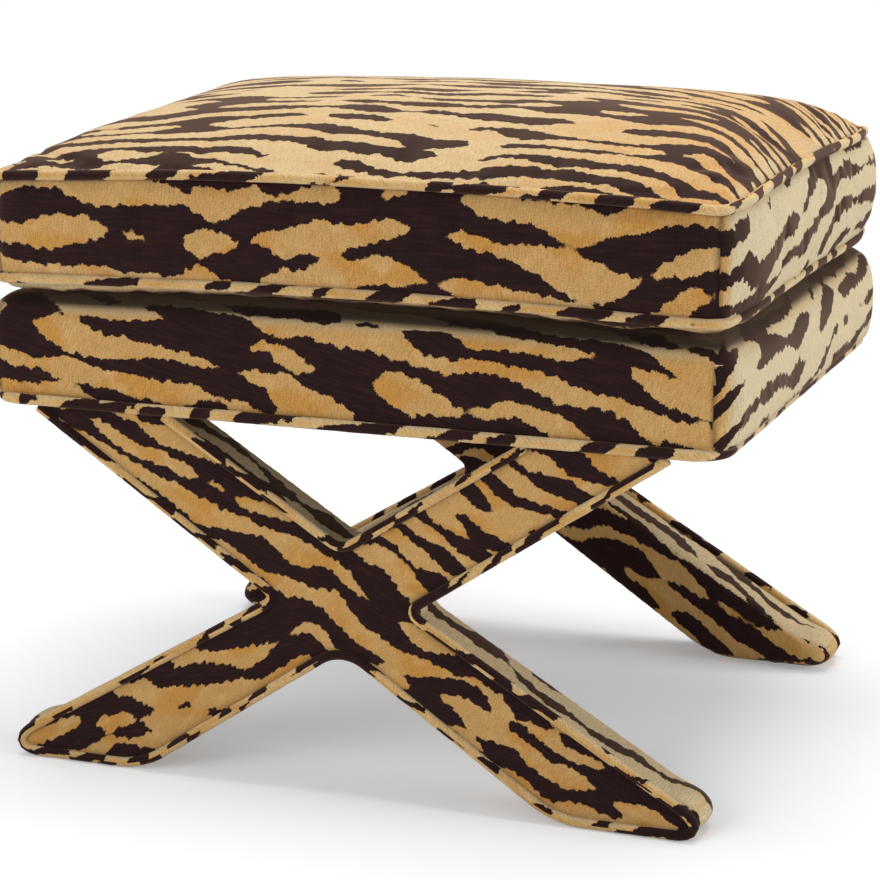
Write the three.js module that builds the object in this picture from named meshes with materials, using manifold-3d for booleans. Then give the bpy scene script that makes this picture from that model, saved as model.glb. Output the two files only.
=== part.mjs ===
// A fully upholstered stool on two crossed frames. A loose box cushion lies on a padded deck,
// and the deck stands on a front and a back X of half-lapped bars wrapped in the same cloth.
// Lengths are in millimetres and angles in degrees. +Z is up, the front faces -Y, and the
// origin is on the floor under the middle of the stool.
import * as THREE from "three";
import { mergeVertices } from "three/addons/utils/BufferGeometryUtils.js";
import Module from "manifold-3d";

const wasm = await Module();
wasm.setup();

// Clearances
const fitGap = 0.3; // left between pieces that touch
const cutOverrun = 4; // how far a cutter reaches past what it cuts

// Cloth
const clothThickness = 2;

// Deck
const deckWidth = 600;
const deckDepth = 482;
const deckCornerRadius = 15;
const deckUnderside = 298.8; // above the floor
const deckHeight = 82.2; // up to the two ends of its domed top
const deckShoulderRadius = 20;
const deckDomeRise = 5; // how much higher the middle of the width is than its two ends
const deckWeltRadius = 4.5;
const deckWeltOutset = 1.5; // cord centre outside the side of the deck
const railThickness = 38;
const railHeight = 52;
const boardThickness = 9;
const glueBlockLeg = 46;
const glueBlockDrop = 4; // block ends short of the rail edges
const dustCoverThickness = 0.8;
const dustCoverInset = 12;
const notchMargin = 3; // dust cover's cutouts past the inner edges of the arms

// Cushion
const cushionSetback = 2; // from the sides of the deck
const cushionStandoff = 12.6; // bottom edge of the boxing above the deck's top
const cushionCornerRadius = 17;
const cushionDrawIn = 3; // how far the middle of each side pulls in between its corners
const boxingHeight = 74;
const boxingBulge = 3;
const cushionWeltRadius = 4;
const cushionWeltOutset = 1.2;
const crownRise = 38;
const wrapThickness = 8;

// Crossed frames, over the cloth on the edges of the bars
const sideCrotchFromMiddle = 49.5;
const sideCrotchShare = 0.516; // crotch heights, as shares of the frame's height
const topCrotchShare = 0.653;
const bottomCrotchShare = 0.412;
const armOuterInset = 34; // from the side of the deck
const armLevelWidth = 102;
const soleHeight = 6; // cloth sole above the floor
const toeInset = 3; // from the side of the deck to the toe, before it is rounded
const footLength = 124; // from toe to heel, before they are rounded
const timberThickness = 38;
const battingThickness = 5;
const toeRadius = 7;
const heelRadius = 60;
const sideCrotchRadius = 9;
const bottomCrotchRadius = 32;
const topCrotchRadius = 16;
const frameWeltRadius = 4;
const frameWeltOutset = 1.6; // cord centre outside the edge of the bar
const frameWeltSetback = 2.2; // cord centre behind the show face

// Fastenings and glides
const boltRadius = 4;
const boltHeadAcross = 13;
const boltHeadHeight = 5.3;
const boltArmShare = 0.77; // of the arm's upright depth at the bolt
const boltShare = 0.235; // of the way from the arm's inner edge to its outer one
const washerRadius = 11;
const washerThickness = 1.6;
const counterboreDepth = 12;
const dowelRadius = 5;
const dowelArmShare = 0.6; // of the arm's upright depth at the dowel
const dowelShare = 0.588; // of the way from the arm's inner edge to its outer one
const dowelInRail = 20;
const glideRadius = 12;
const glideEdgeRadius = 1.5;
const glideNailRadius = 1.5;
const glideNailLength = 16;
const glideShare = 0.476; // of the way from heel to toe

// Crown shapes, as powers and as shares of the half sizes
const crownWidthPower = 8;
const crownDepthPower = 6;
const crownFullness = 0.6;
const bellyPower = 9;
const topRingShares = [1, 0.985, 0.955, 0.9, 0.8, 0.6];
const flatRingShares = [1, 0.97, 0.9, 0.6];
const padRingShares = [0.85, 0.45];

// Fineness, in counts
const arcStep = 19; // degrees of arc to each straight piece
const longSideCount = 6;
const shortSideCount = 4;
const cornerCount = 3;
const boxingCount = 4;
const shoulderCount = 4;
const weltSideCount = 6;
const roundSideCount = 14;
const hexagonSideCount = 6;

// Heights that follow from the sizes above
const radians = Math.PI / 180;
const deckTop = deckUnderside + deckHeight;
const frameTop = deckUnderside - fitGap;
const faceTop = deckUnderside - fitGap - 2 * deckWeltRadius - fitGap;
const deckWeltHeight = deckUnderside - fitGap - deckWeltRadius;
const railTop = deckUnderside + railHeight;
const boardBase = railTop + fitGap;
const padBase = boardBase + boardThickness + fitGap;
const boxingBase = deckTop + cushionStandoff;
const boxingTop = boxingBase + boxingHeight;
const lowerWeltHeight = boxingBase - fitGap - cushionWeltRadius;
const upperWeltHeight = boxingTop + fitGap + cushionWeltRadius;
const panelInset = cushionWeltRadius - cushionWeltOutset + fitGap;
const bellyDrop = lowerWeltHeight - deckTop - fitGap;

const cushionWidth = deckWidth - 2 * cushionSetback;
const cushionDepth = deckDepth - 2 * cushionSetback;

// Corners of an X, from the middle of the stool and above the floor
const sideCrotchHeight = sideCrotchShare * frameTop;
const topCrotchHeight = topCrotchShare * frameTop;
const bottomCrotchHeight = bottomCrotchShare * frameTop;
const armOuterFromMiddle = deckWidth / 2 - armOuterInset;
const armInnerFromMiddle = armOuterFromMiddle - armLevelWidth;
const toeFromMiddle = deckWidth / 2 - toeInset;
const heelFromMiddle = toeFromMiddle - footLength;

// Places of the fastenings and glides, and how far the fastenings go into an arm
const boltFromMiddle = armInnerFromMiddle + boltShare * armLevelWidth;
const dowelFromMiddle = armInnerFromMiddle + dowelShare * armLevelWidth;
const glideFromMiddle = heelFromMiddle + glideShare * footLength;
const underArmRise = frameTop - sideCrotchHeight;
const underArmRun = armOuterFromMiddle - sideCrotchFromMiddle;
const armDepthAt = (x) => ((armOuterFromMiddle - x) * underArmRise) / underArmRun;
const boltInTimber = boltArmShare * armDepthAt(boltFromMiddle);
const dowelInTimber = dowelArmShare * armDepthAt(dowelFromMiddle);

// Depths through one frame, from its show face to its inner face
const faceBattingFront = clothThickness + fitGap;
const timberFront = faceBattingFront + battingThickness + fitGap;
const timberBack = timberFront + timberThickness;
const backBattingFront = timberBack + fitGap;
const backPanelFront = backBattingFront + battingThickness + fitGap;
const frameThickness = backPanelFront + clothThickness;
const frameBoxingFront = frameWeltSetback + frameWeltRadius + fitGap;
const frameSeamInset = frameWeltRadius - frameWeltOutset + fitGap;
const lapPlane = (timberFront + timberBack) / 2;
const timberMiddle = deckDepth / 2 - lapPlane; // from the middle of the stool

// Heights of the glides and bolts
const glideTop = soleHeight - fitGap;
const nailTop = glideTop + glideNailLength;
const washerBase = railTop - counterboreDepth + fitGap;
const boltSeat = washerBase + washerThickness + fitGap;

const cloth = { color: 0x8a6539, roughness: 0.85, metalness: 0 };
const weltCloth = { color: 0xa57c48, roughness: 0.85, metalness: 0 };
const foam = { color: 0xe9dfc6, roughness: 0.95, metalness: 0 };
const fibre = { color: 0xf1efe9, roughness: 1, metalness: 0 };
const hardwood = { color: 0xb88d5c, roughness: 0.6, metalness: 0 };
const plywood = { color: 0xcaa877, roughness: 0.7, metalness: 0 };
const blackCloth = { color: 0x1d1c1d, roughness: 0.95, metalness: 0 };
const zincSteel = { color: 0xa3a6a8, roughness: 0.35, metalness: 1 };
const blackPlastic = { color: 0x222223, roughness: 0.5, metalness: 0 };

const stool = new THREE.Group();
stool.name = "x_frame_stool";

function addPiece(name, geometry, finish, parent = stool) {
  const mesh = new THREE.Mesh(geometry, new THREE.MeshStandardMaterial(finish));
  mesh.name = name;
  parent.add(mesh);
  return mesh;
}

// Solids and booleans

function toSolid(geometry) {
  const bare = new THREE.BufferGeometry();
  bare.setAttribute("position", geometry.getAttribute("position").clone());
  if (geometry.index) bare.setIndex(geometry.index.clone());
  const merged = mergeVertices(bare);
  return new wasm.Manifold(
    new wasm.Mesh({
      numProp: 3,
      vertProperties: new Float32Array(merged.getAttribute("position").array),
      triVerts: new Uint32Array(merged.index.array),
    }),
  );
}

function toGeometry(solid) {
  const mesh = solid.getMesh();
  const geometry = new THREE.BufferGeometry();
  geometry.setAttribute("position", new THREE.BufferAttribute(mesh.vertProperties, 3));
  geometry.setIndex(new THREE.BufferAttribute(mesh.triVerts, 1));
  geometry.computeVertexNormals();
  return geometry;
}

function cut(body, ...cutters) {
  let solid = toSolid(body);
  for (const cutter of cutters) solid = solid.subtract(toSolid(cutter));
  return toGeometry(solid);
}

function common(body, other) {
  return toGeometry(toSolid(body).intersect(toSolid(other)));
}

function joined(body, other) {
  return toGeometry(toSolid(body).add(toSolid(other)));
}

// Outlines

// Points of a polygon whose corners are rounded. Each corner is { x, y, radius }.
// An open outline keeps its first and last corners sharp.
function roundedOutline(corners, open = false) {
  const points = [];
  const count = corners.length;
  corners.forEach((corner, index) => {
    const here = new THREE.Vector2(corner.x, corner.y);
    const isEnd = open && (index === 0 || index === count - 1);
    if (isEnd || !corner.radius) {
      points.push(here);
      return;
    }
    const before = corners[(index + count - 1) % count];
    const after = corners[(index + 1) % count];
    const toBefore = new THREE.Vector2(before.x, before.y).sub(here).normalize();
    const toAfter = new THREE.Vector2(after.x, after.y).sub(here).normalize();
    const halfAngle = Math.acos(THREE.MathUtils.clamp(toBefore.dot(toAfter), -1, 1)) / 2;
    const tangent = corner.radius / Math.tan(halfAngle);
    const bisector = toBefore.clone().add(toAfter).normalize();
    const centre = here.clone().addScaledVector(bisector, corner.radius / Math.sin(halfAngle));
    const from = here.clone().addScaledVector(toBefore, tangent).sub(centre);
    const turn = Math.PI - 2 * halfAngle;
    const side = Math.sign(toBefore.cross(toAfter));
    const steps = Math.max(2, Math.ceil(turn / (arcStep * radians)));
    for (let step = 0; step <= steps; step += 1) {
      const swing = (-side * turn * step) / steps;
      points.push(from.clone().rotateAround(new THREE.Vector2(), swing).add(centre));
    }
  });
  return points;
}

// A prism of an outline drawn in X and Z, between two places along Y.
function extrudeAlongY(points, front, back) {
  const shape = new THREE.Shape(points);
  const geometry = new THREE.ExtrudeGeometry(shape, { depth: back - front, bevelEnabled: false });
  geometry.rotateX(90 * radians);
  geometry.translate(0, back, 0);
  return geometry;
}

// A prism of an outline drawn in X and Y, between two heights.
function extrudeUp(points, low, high) {
  const shape = new THREE.Shape(points);
  const geometry = new THREE.ExtrudeGeometry(shape, { depth: high - low, bevelEnabled: false });
  geometry.translate(0, 0, low);
  return geometry;
}

function block(xRange, yRange, zRange) {
  const [x0, x1] = xRange;
  const [y0, y1] = yRange;
  const [z0, z1] = zRange;
  const geometry = new THREE.BoxGeometry(x1 - x0, y1 - y0, z1 - z0);
  geometry.translate((x0 + x1) / 2, (y0 + y1) / 2, (z0 + z1) / 2);
  return geometry;
}

// An upright cylinder between two heights.
function post(x, y, radius, low, high, sides = roundSideCount) {
  const geometry = new THREE.CylinderGeometry(radius, radius, high - low, sides);
  geometry.rotateX(90 * radians);
  geometry.translate(x, y, (low + high) / 2);
  return geometry;
}

// A path through given points, for sweeping a cord along.
class PointPath extends THREE.Curve {
  constructor(points) {
    super();
    this.points = points;
  }

  getPoint(share, target = new THREE.Vector3()) {
    const place = share * (this.points.length - 1);
    const index = Math.min(Math.floor(place + 1e-6), this.points.length - 2);
    return target.lerpVectors(this.points[index], this.points[index + 1], place - index);
  }

  getPointAt(share, target) {
    return this.getPoint(share, target);
  }

  getTangentAt(share, target = new THREE.Vector3()) {
    const last = this.points.length - 1;
    const index = Math.round(share * last);
    const after = this.points[Math.min(index + 1, last)];
    const before = this.points[Math.max(index - 1, 0)];
    const here = this.points[index];
    const ahead = after.clone().sub(here).normalize();
    const behind = here.clone().sub(before).normalize();
    return target.copy(ahead).add(behind).normalize();
  }
}

// A round cord of cloth along a path of points.
function cord(points, radius) {
  const section = new THREE.Shape();
  for (let side = 0; side < weltSideCount; side += 1) {
    const angle = (2 * Math.PI * (side + 0.5)) / weltSideCount;
    const x = radius * Math.cos(angle);
    const y = radius * Math.sin(angle);
    if (side === 0) section.moveTo(x, y);
    else section.lineTo(x, y);
  }
  section.closePath();
  return new THREE.ExtrudeGeometry(section, {
    steps: points.length - 1,
    extrudePath: new PointPath(points),
    bevelEnabled: false,
  });
}

const reachOf = (ring) => Math.hypot(ring[0].x, ring[0].y);

// Closed surface through rings of equal count, from a low middle point to a high one. Each
// square is split from its outer ring's nearer corner, so that nested skins split alike.
function ringSolid(rings, lowMiddle, highMiddle) {
  const count = rings[0].length;
  const positions = [lowMiddle, ...rings.flat(), highMiddle].flatMap((point) => point.toArray());
  const index = [];
  const at = (ring, step) => 1 + ring * count + (step % count);
  const last = 1 + rings.length * count;
  for (let step = 0; step < count; step += 1) {
    index.push(0, at(0, step + 1), at(0, step));
    for (let ring = 0; ring < rings.length - 1; ring += 1) {
      const low = [at(ring, step), at(ring, step + 1)];
      const high = [at(ring + 1, step), at(ring + 1, step + 1)];
      if (reachOf(rings[ring]) >= reachOf(rings[ring + 1])) {
        index.push(low[0], low[1], high[1], low[0], high[1], high[0]);
      } else {
        index.push(low[0], low[1], high[0], low[1], high[1], high[0]);
      }
    }
    index.push(at(rings.length - 1, step), at(rings.length - 1, step + 1), last);
  }
  return indexedGeometry(positions, index);
}

// Closed strip through sections of equal count. In each section the second half runs back
// along the first, so that its ends close as a ladder.
function stripSolid(sections) {
  const count = sections[0].length;
  const positions = sections.flat().flatMap((point) => point.toArray());
  const index = [];
  const at = (section, step) => section * count + (step % count);
  for (let section = 0; section < sections.length - 1; section += 1) {
    for (let step = 0; step < count; step += 1) {
      const low = [at(section, step), at(section, step + 1)];
      const high = [at(section + 1, step), at(section + 1, step + 1)];
      index.push(low[0], high[0], high[1]);
      index.push(low[0], high[1], low[1]);
    }
  }
  for (let step = 0; step < count / 2 - 1; step += 1) {
    const rung = [step, step + 1, count - 2 - step, count - 1 - step];
    const end = rung.map((place) => at(sections.length - 1, place));
    index.push(rung[0], rung[1], rung[2], rung[0], rung[2], rung[3]);
    index.push(end[0], end[2], end[1], end[0], end[3], end[2]);
  }
  return indexedGeometry(positions, index);
}

function indexedGeometry(positions, index) {
  const geometry = new THREE.BufferGeometry();
  geometry.setAttribute("position", new THREE.Float32BufferAttribute(positions, 3));
  geometry.setIndex(index);
  geometry.computeVertexNormals();
  return geometry;
}

// Plan of a cushion or deck, anticlockwise from the left end of the front side. Each point
// keeps its outward direction and its shares u and v of the way out to the edge in X and Y.
// All four sides curve in by the draw-in.
function planOutline(width, depth, radius, drawIn = 0) {
  const halfX = width / 2;
  const halfY = depth / 2;
  const points = [];
  const sides = [
    { turn: 0, reach: halfX - radius, away: halfY, steps: longSideCount },
    { turn: 90, reach: halfY - radius, away: halfX, steps: shortSideCount },
    { turn: 180, reach: halfX - radius, away: halfY, steps: longSideCount },
    { turn: 270, reach: halfY - radius, away: halfX, steps: shortSideCount },
  ];
  for (const side of sides) {
    const start = points.length;
    for (let step = 0; step <= side.steps; step += 1) {
      const share = (2 * step) / side.steps - 1;
      const inward = drawIn * (1 - share * share);
      points.push({ x: share * side.reach, y: inward - side.away, nx: 0, ny: -1 });
    }
    for (let step = 1; step < cornerCount; step += 1) {
      const angle = (90 * radians * step) / cornerCount;
      const nx = Math.sin(angle);
      const ny = -Math.cos(angle);
      points.push({ x: side.reach + radius * nx, y: radius * (1 + ny) - side.away, nx, ny });
    }
    const cos = Math.round(Math.cos(side.turn * radians));
    const sin = Math.round(Math.sin(side.turn * radians));
    for (const point of points.slice(start)) {
      const { x, y, nx, ny } = point;
      point.x = x * cos - y * sin;
      point.y = x * sin + y * cos;
      point.nx = nx * cos - ny * sin;
      point.ny = nx * sin + ny * cos;
      const across = Math.abs(point.x) / halfX;
      const along = Math.abs(point.y) / halfY;
      const furthest = Math.max(across, along);
      point.u = across / furthest;
      point.v = along / furthest;
    }
  }
  return points;
}

// Index of the first point of each side in a plan outline, and of the point after the last
const sideStart = [0, 0, 0, 0, 0];
[longSideCount, shortSideCount, longSideCount, shortSideCount].forEach((steps, side) => {
  sideStart[side + 1] = sideStart[side] + steps + cornerCount;
});

// The deck and the cushion on it are both highest along the middle of their width.
function domeAt(x) {
  const share = (2 * x) / deckWidth;
  return deckDomeRise * (1 - share * share);
}

// A plan drawn in towards the middle to a share of its size. Heights are asked for by place
// along X and by the shares of the way out to the edge.
function planRing(plan, share, heightAt) {
  return plan.map(({ x, y, u, v }) => {
    return new THREE.Vector3(x * share, y * share, heightAt(x * share, u * share, v * share));
  });
}

function cushionPlan(inset) {
  return planOutline(
    cushionWidth - 2 * inset,
    cushionDepth - 2 * inset,
    Math.max(cushionCornerRadius - inset, fitGap),
    cushionDrawIn,
  );
}

// Shares of the height of the crown and of the belly, from 0 at the seam to 1 in the middle
function crownShare(u, v) {
  return ((1 - u ** crownWidthPower) * (1 - v ** crownDepthPower)) ** crownFullness;
}

function bellyShare(u, v) {
  return (1 - u ** bellyPower) * (1 - v ** bellyPower);
}

// Crowned surface of the cushion, a given depth under its top cloth
function crownHeight(under) {
  return (x, u, v) => upperWeltHeight + domeAt(x) + (crownRise - under) * crownShare(u, v);
}

// Underside surface of the cushion, a given depth above its bottom cloth
function bellyHeight(above) {
  return (x, u, v) => lowerWeltHeight + domeAt(x) - (bellyDrop - above) * bellyShare(u, v);
}

const middle = (heightAt) => new THREE.Vector3(0, 0, heightAt(0, 0, 0));

// Cushion
const cushion = new THREE.Group();
stool.add(cushion);

function topPanel() {
  const outside = crownHeight(0);
  const innerInset = panelInset + clothThickness;
  const inside = crownHeight(clothThickness);
  const outer = topRingShares.map((share) => planRing(cushionPlan(panelInset), share, outside));
  const inner = topRingShares.map((share) => planRing(cushionPlan(innerInset), share, inside));
  return ringSolid([...inner.reverse(), ...outer], middle(inside), middle(outside));
}

function bottomPanel() {
  const outside = bellyHeight(0);
  const innerInset = panelInset + clothThickness;
  const inside = bellyHeight(clothThickness);
  const outer = flatRingShares.map((share) => planRing(cushionPlan(panelInset), share, outside));
  const inner = flatRingShares.map((share) => planRing(cushionPlan(innerInset), share, inside));
  return ringSolid([...outer.reverse(), ...inner], middle(outside), middle(inside));
}

// Fibre wrap over the crown and down the four sides, open underneath
function fibreWrap() {
  const outerInset = panelInset + clothThickness + fitGap;
  const innerInset = outerInset + wrapThickness;
  const outside = crownHeight(clothThickness + fitGap);
  const inside = crownHeight(clothThickness + fitGap + wrapThickness);
  const hem = (x) => boxingBase + domeAt(x);
  const outer = topRingShares.map((share) => planRing(cushionPlan(outerInset), share, outside));
  const inner = topRingShares.map((share) => planRing(cushionPlan(innerInset), share, inside));
  const rings = [
    ...inner.reverse(),
    planRing(cushionPlan(innerInset), 1, hem),
    planRing(cushionPlan(outerInset), 1, hem),
    ...outer,
  ];
  return ringSolid(rings, middle(inside), middle(outside));
}

function foamCore() {
  const inset = panelInset + clothThickness + wrapThickness + 2 * fitGap;
  const above = crownHeight(clothThickness + wrapThickness + 2 * fitGap);
  const below = bellyHeight(clothThickness + fitGap);
  const upper = topRingShares.map((share) => planRing(cushionPlan(inset), share, above));
  const lower = flatRingShares.map((share) => planRing(cushionPlan(inset), share, below));
  return ringSolid([...lower.reverse(), ...upper], middle(below), middle(above));
}

// One strip of the boxing, along the plan points from one seam to the next
function boxingStrip(firstPoint, lastPoint) {
  const plan = cushionPlan(0);
  const run = [];
  for (let index = firstPoint; index <= lastPoint; index += 1) {
    run.push({ ...plan[index % plan.length] });
  }
  shortenEnds(run, fitGap / 2);
  const sections = run.map(({ x, y, nx, ny }) => {
    const side = (depth, reverse) => {
      const line = [];
      for (let step = 0; step <= boxingCount; step += 1) {
        const share = (reverse ? boxingCount - step : step) / boxingCount;
        const out = boxingBulge * Math.sin(Math.PI * share) - depth;
        const height = boxingBase + boxingHeight * share + domeAt(x);
        line.push(new THREE.Vector3(x + nx * out, y + ny * out, height));
      }
      return line;
    };
    return [...side(0, false), ...side(clothThickness, true)];
  });
  return stripSolid(sections);
}

// Moves the two ends of a run of plan points inwards along it.
function shortenEnds(run, length) {
  const pull = (end, next) => {
    const reach = Math.hypot(next.x - end.x, next.y - end.y);
    end.x += ((next.x - end.x) * length) / reach;
    end.y += ((next.y - end.y) * length) / reach;
  };
  pull(run[0], run[1]);
  pull(run[run.length - 1], run[run.length - 2]);
}

// A cord all round a plan, whose two ends meet in the middle of the back side
function planCord(plan, outset, radius, heightAt) {
  const backMiddle = (sideStart[2] + longSideCount / 2) % plan.length;
  const run = [];
  for (let step = 0; step <= plan.length; step += 1) {
    run.push({ ...plan[(backMiddle + step) % plan.length] });
  }
  shortenEnds(run, fitGap / 2);
  const points = run.map(({ x, y, nx, ny }) => {
    return new THREE.Vector3(x + nx * outset, y + ny * outset, heightAt(x));
  });
  return cord(points, radius);
}

const lastOfFront = longSideCount;
const lastOfBack = sideStart[2] + longSideCount;
const boxingRuns = {
  front: [0, lastOfFront],
  right: [lastOfFront, sideStart[2]],
  back: [sideStart[2], lastOfBack],
  left: [lastOfBack, sideStart[4]],
};

addPiece("cushion_core", foamCore(), foam, cushion);
addPiece("cushion_wrap", fibreWrap(), fibre, cushion);
addPiece("cushion_top_panel", topPanel(), cloth, cushion);
addPiece("cushion_bottom_panel", bottomPanel(), cloth, cushion);
for (const [side, [first, last]] of Object.entries(boxingRuns)) {
  addPiece("cushion_boxing_" + side, boxingStrip(first, last), cloth, cushion);
}
addPiece(
  "cushion_welt_top",
  planCord(cushionPlan(0), cushionWeltOutset, cushionWeltRadius, (x) => {
    return upperWeltHeight + domeAt(x);
  }),
  weltCloth,
  cushion,
);
addPiece(
  "cushion_welt_bottom",
  planCord(cushionPlan(0), cushionWeltOutset, cushionWeltRadius, (x) => {
    return lowerWeltHeight + domeAt(x);
  }),
  weltCloth,
  cushion,
);

// Deck
const deck = new THREE.Group();
stool.add(deck);

function deckPlan(inset) {
  return planOutline(
    deckWidth - 2 * inset,
    deckDepth - 2 * inset,
    Math.max(deckCornerRadius - inset, fitGap),
  );
}

// Rings of the deck's shoulder and top, for a skin that lies a given depth under the cloth
function deckRings(depth, lowest) {
  const radius = deckShoulderRadius - depth;
  const springing = deckTop - deckShoulderRadius;
  const rings = [planRing(deckPlan(depth), 1, () => lowest)];
  const firstStep = lowest < springing ? 0 : 1;
  for (let step = firstStep; step <= shoulderCount; step += 1) {
    const angle = (90 * radians * step) / shoulderCount;
    const inset = depth + radius * (1 - Math.cos(angle));
    const height = springing + radius * Math.sin(angle);
    rings.push(planRing(deckPlan(inset), 1, (x) => height + domeAt(x) * Math.sin(angle)));
  }
  const flat = deckPlan(depth + radius);
  for (const share of padRingShares) {
    rings.push(planRing(flat, share, (x) => deckTop - depth + domeAt(x)));
  }
  return rings;
}

function deckCover() {
  const outer = deckRings(0, deckUnderside);
  const inner = deckRings(clothThickness, deckUnderside);
  const top = new THREE.Vector3(0, 0, deckTop + deckDomeRise);
  const under = top.clone().setZ(top.z - clothThickness);
  return ringSolid([...inner.reverse(), ...outer], under, top);
}

function deckPad() {
  const depth = clothThickness + fitGap;
  const rings = deckRings(depth, padBase);
  const top = new THREE.Vector3(0, 0, deckTop + deckDomeRise - depth);
  return ringSolid(rings, new THREE.Vector3(0, 0, padBase), top);
}

const timberInset = clothThickness + fitGap;
const railOuterX = deckWidth / 2 - timberInset;
const railOuterY = deckDepth / 2 - timberInset;
const railInnerX = railOuterX - railThickness;
const railInnerY = railOuterY - railThickness;

addPiece("deck_cover", deckCover(), cloth, deck);
addPiece(
  "deck_welt",
  planCord(deckPlan(0), deckWeltOutset, deckWeltRadius, () => deckWeltHeight),
  weltCloth,
  deck,
);
addPiece("deck_pad", deckPad(), foam, deck);
addPiece(
  "deck_board",
  extrudeUp(
    deckPlan(timberInset).map(({ x, y }) => new THREE.Vector2(x, y)),
    boardBase,
    boardBase + boardThickness,
  ),
  plywood,
  deck,
);

// The two frames and the two hands, each with its sign along Y or X
const ends = [
  { frame: "front", towardsY: -1 },
  { frame: "back", towardsY: 1 },
];
const hands = [
  { hand: "left", towardsX: -1 },
  { hand: "right", towardsX: 1 },
];

function longRail(towardsY) {
  const outline = deckPlan(timberInset).map(({ x, y }) => new THREE.Vector2(x, y));
  const slab = extrudeUp(outline, deckUnderside, railTop);
  const innerFace = towardsY * railInnerY;
  const outerFace = towardsY * (railOuterY + cutOverrun);
  const range = [Math.min(innerFace, outerFace), Math.max(innerFace, outerFace)];
  const wide = railOuterX + cutOverrun;
  const tall = [deckUnderside - cutOverrun, railTop + cutOverrun];
  const rail = common(slab, block([-wide, wide], range, tall));
  const y = towardsY * timberMiddle;
  const holes = [];
  for (const { towardsX } of hands) {
    const boltX = towardsX * boltFromMiddle;
    const dowelX = towardsX * dowelFromMiddle;
    const low = deckUnderside - cutOverrun;
    const high = railTop + cutOverrun;
    holes.push(post(boltX, y, boltRadius + fitGap, low, high));
    holes.push(post(boltX, y, washerRadius + fitGap, railTop - counterboreDepth, high));
    holes.push(post(dowelX, y, dowelRadius + fitGap, low, deckUnderside + dowelInRail + fitGap));
  }
  return cut(rail, ...holes);
}

for (const { frame, towardsY } of ends) {
  addPiece("rail_" + frame, longRail(towardsY), hardwood, deck);
}
for (const { hand, towardsX } of hands) {
  const faces = [towardsX * railInnerX, towardsX * railOuterX];
  const side = railInnerY - fitGap;
  const rail = block(
    [Math.min(...faces), Math.max(...faces)],
    [-side, side],
    [deckUnderside, railTop],
  );
  addPiece("rail_" + hand, rail, hardwood, deck);
}
for (const { frame, towardsY } of ends) {
  for (const { hand, towardsX } of hands) {
    const x = towardsX * (railInnerX - fitGap);
    const y = towardsY * (railInnerY - fitGap);
    const outline = [
      new THREE.Vector2(x, y),
      new THREE.Vector2(x - towardsX * glueBlockLeg, y),
      new THREE.Vector2(x, y - towardsY * glueBlockLeg),
    ];
    const geometry = extrudeUp(outline, deckUnderside + glueBlockDrop, railTop - glueBlockDrop);
    addPiece(["glue_block", frame, hand].join("_"), geometry, hardwood, deck);
  }
}

// Corners of one X at the cloth on the bars' edges, anticlockwise from the outer top of the
// left arm. The two edges along the top are the arms' level ends.
const frameCorners = [
  { x: -armOuterFromMiddle, y: frameTop, radius: 0 },
  { x: -sideCrotchFromMiddle, y: sideCrotchHeight, radius: sideCrotchRadius },
  { x: -toeFromMiddle, y: soleHeight, radius: toeRadius },
  { x: -heelFromMiddle, y: soleHeight, radius: heelRadius },
  { x: 0, y: bottomCrotchHeight, radius: bottomCrotchRadius },
  { x: heelFromMiddle, y: soleHeight, radius: heelRadius },
  { x: toeFromMiddle, y: soleHeight, radius: toeRadius },
  { x: sideCrotchFromMiddle, y: sideCrotchHeight, radius: sideCrotchRadius },
  { x: armOuterFromMiddle, y: frameTop, radius: 0 },
  { x: armInnerFromMiddle, y: frameTop, radius: 0 },
  { x: 0, y: topCrotchHeight, radius: topCrotchRadius },
  { x: -armInnerFromMiddle, y: frameTop, radius: 0 },
];
const outerRunCornerCount = 9; // corners of the run round both legs, from one arm to the other

// The corners with every edge moved inwards, but the arms' ends kept level at a height
function insetCorners(inset, top) {
  const count = frameCorners.length;
  const lines = frameCorners.map((corner, index) => {
    const next = frameCorners[(index + 1) % count];
    const along = new THREE.Vector2(next.x - corner.x, next.y - corner.y).normalize();
    const isArmEnd = corner.y === frameTop && next.y === frameTop;
    const shift = isArmEnd ? frameTop - top : inset;
    const start = new THREE.Vector2(corner.x - along.y * shift, corner.y + along.x * shift);
    return { start, along };
  });
  return frameCorners.map((corner, index) => {
    const before = lines[(index + count - 1) % count];
    const after = lines[index];
    const apart = after.start.clone().sub(before.start);
    const turn = before.along.cross(after.along);
    const reach = apart.cross(after.along) / turn;
    const place = before.start.clone().addScaledVector(before.along, reach);
    const radius = corner.radius ? corner.radius - Math.sign(turn) * inset : 0;
    return { x: place.x, y: place.y, radius };
  });
}

const frameOutline = (inset, top) => roundedOutline(insetCorners(inset, top));
const outerRun = (inset, top) => {
  return roundedOutline(insetCorners(inset, top).slice(0, outerRunCornerCount), true);
};
const innerRun = (inset, top) => {
  return roundedOutline(insetCorners(inset, top).slice(outerRunCornerCount), true);
};

// Outline of one bar, from its foot on one side to its arm on the other. Lean is 1 where the
// arm is on the right and -1 where it is on the left.
function barOutline(lean, inset, top) {
  const corners = insetCorners(inset, top);
  const rising = [2, 3, 4, 7, 8, 9, 10, 1].map((place) => corners[place]);
  const feet = [toeRadius - inset, heelRadius - inset];
  const bar = rising.map(({ x, y }, index) => ({ x: lean * x, y, radius: feet[index] ?? 0 }));
  return roundedOutline(lean > 0 ? bar : bar.reverse());
}

// A band of cloth between an outline and the same outline further in
function band(run, top, front, back) {
  const outline = [...run(0, top), ...run(clothThickness, top).reverse()];
  return extrudeAlongY(outline, front, back);
}

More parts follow.
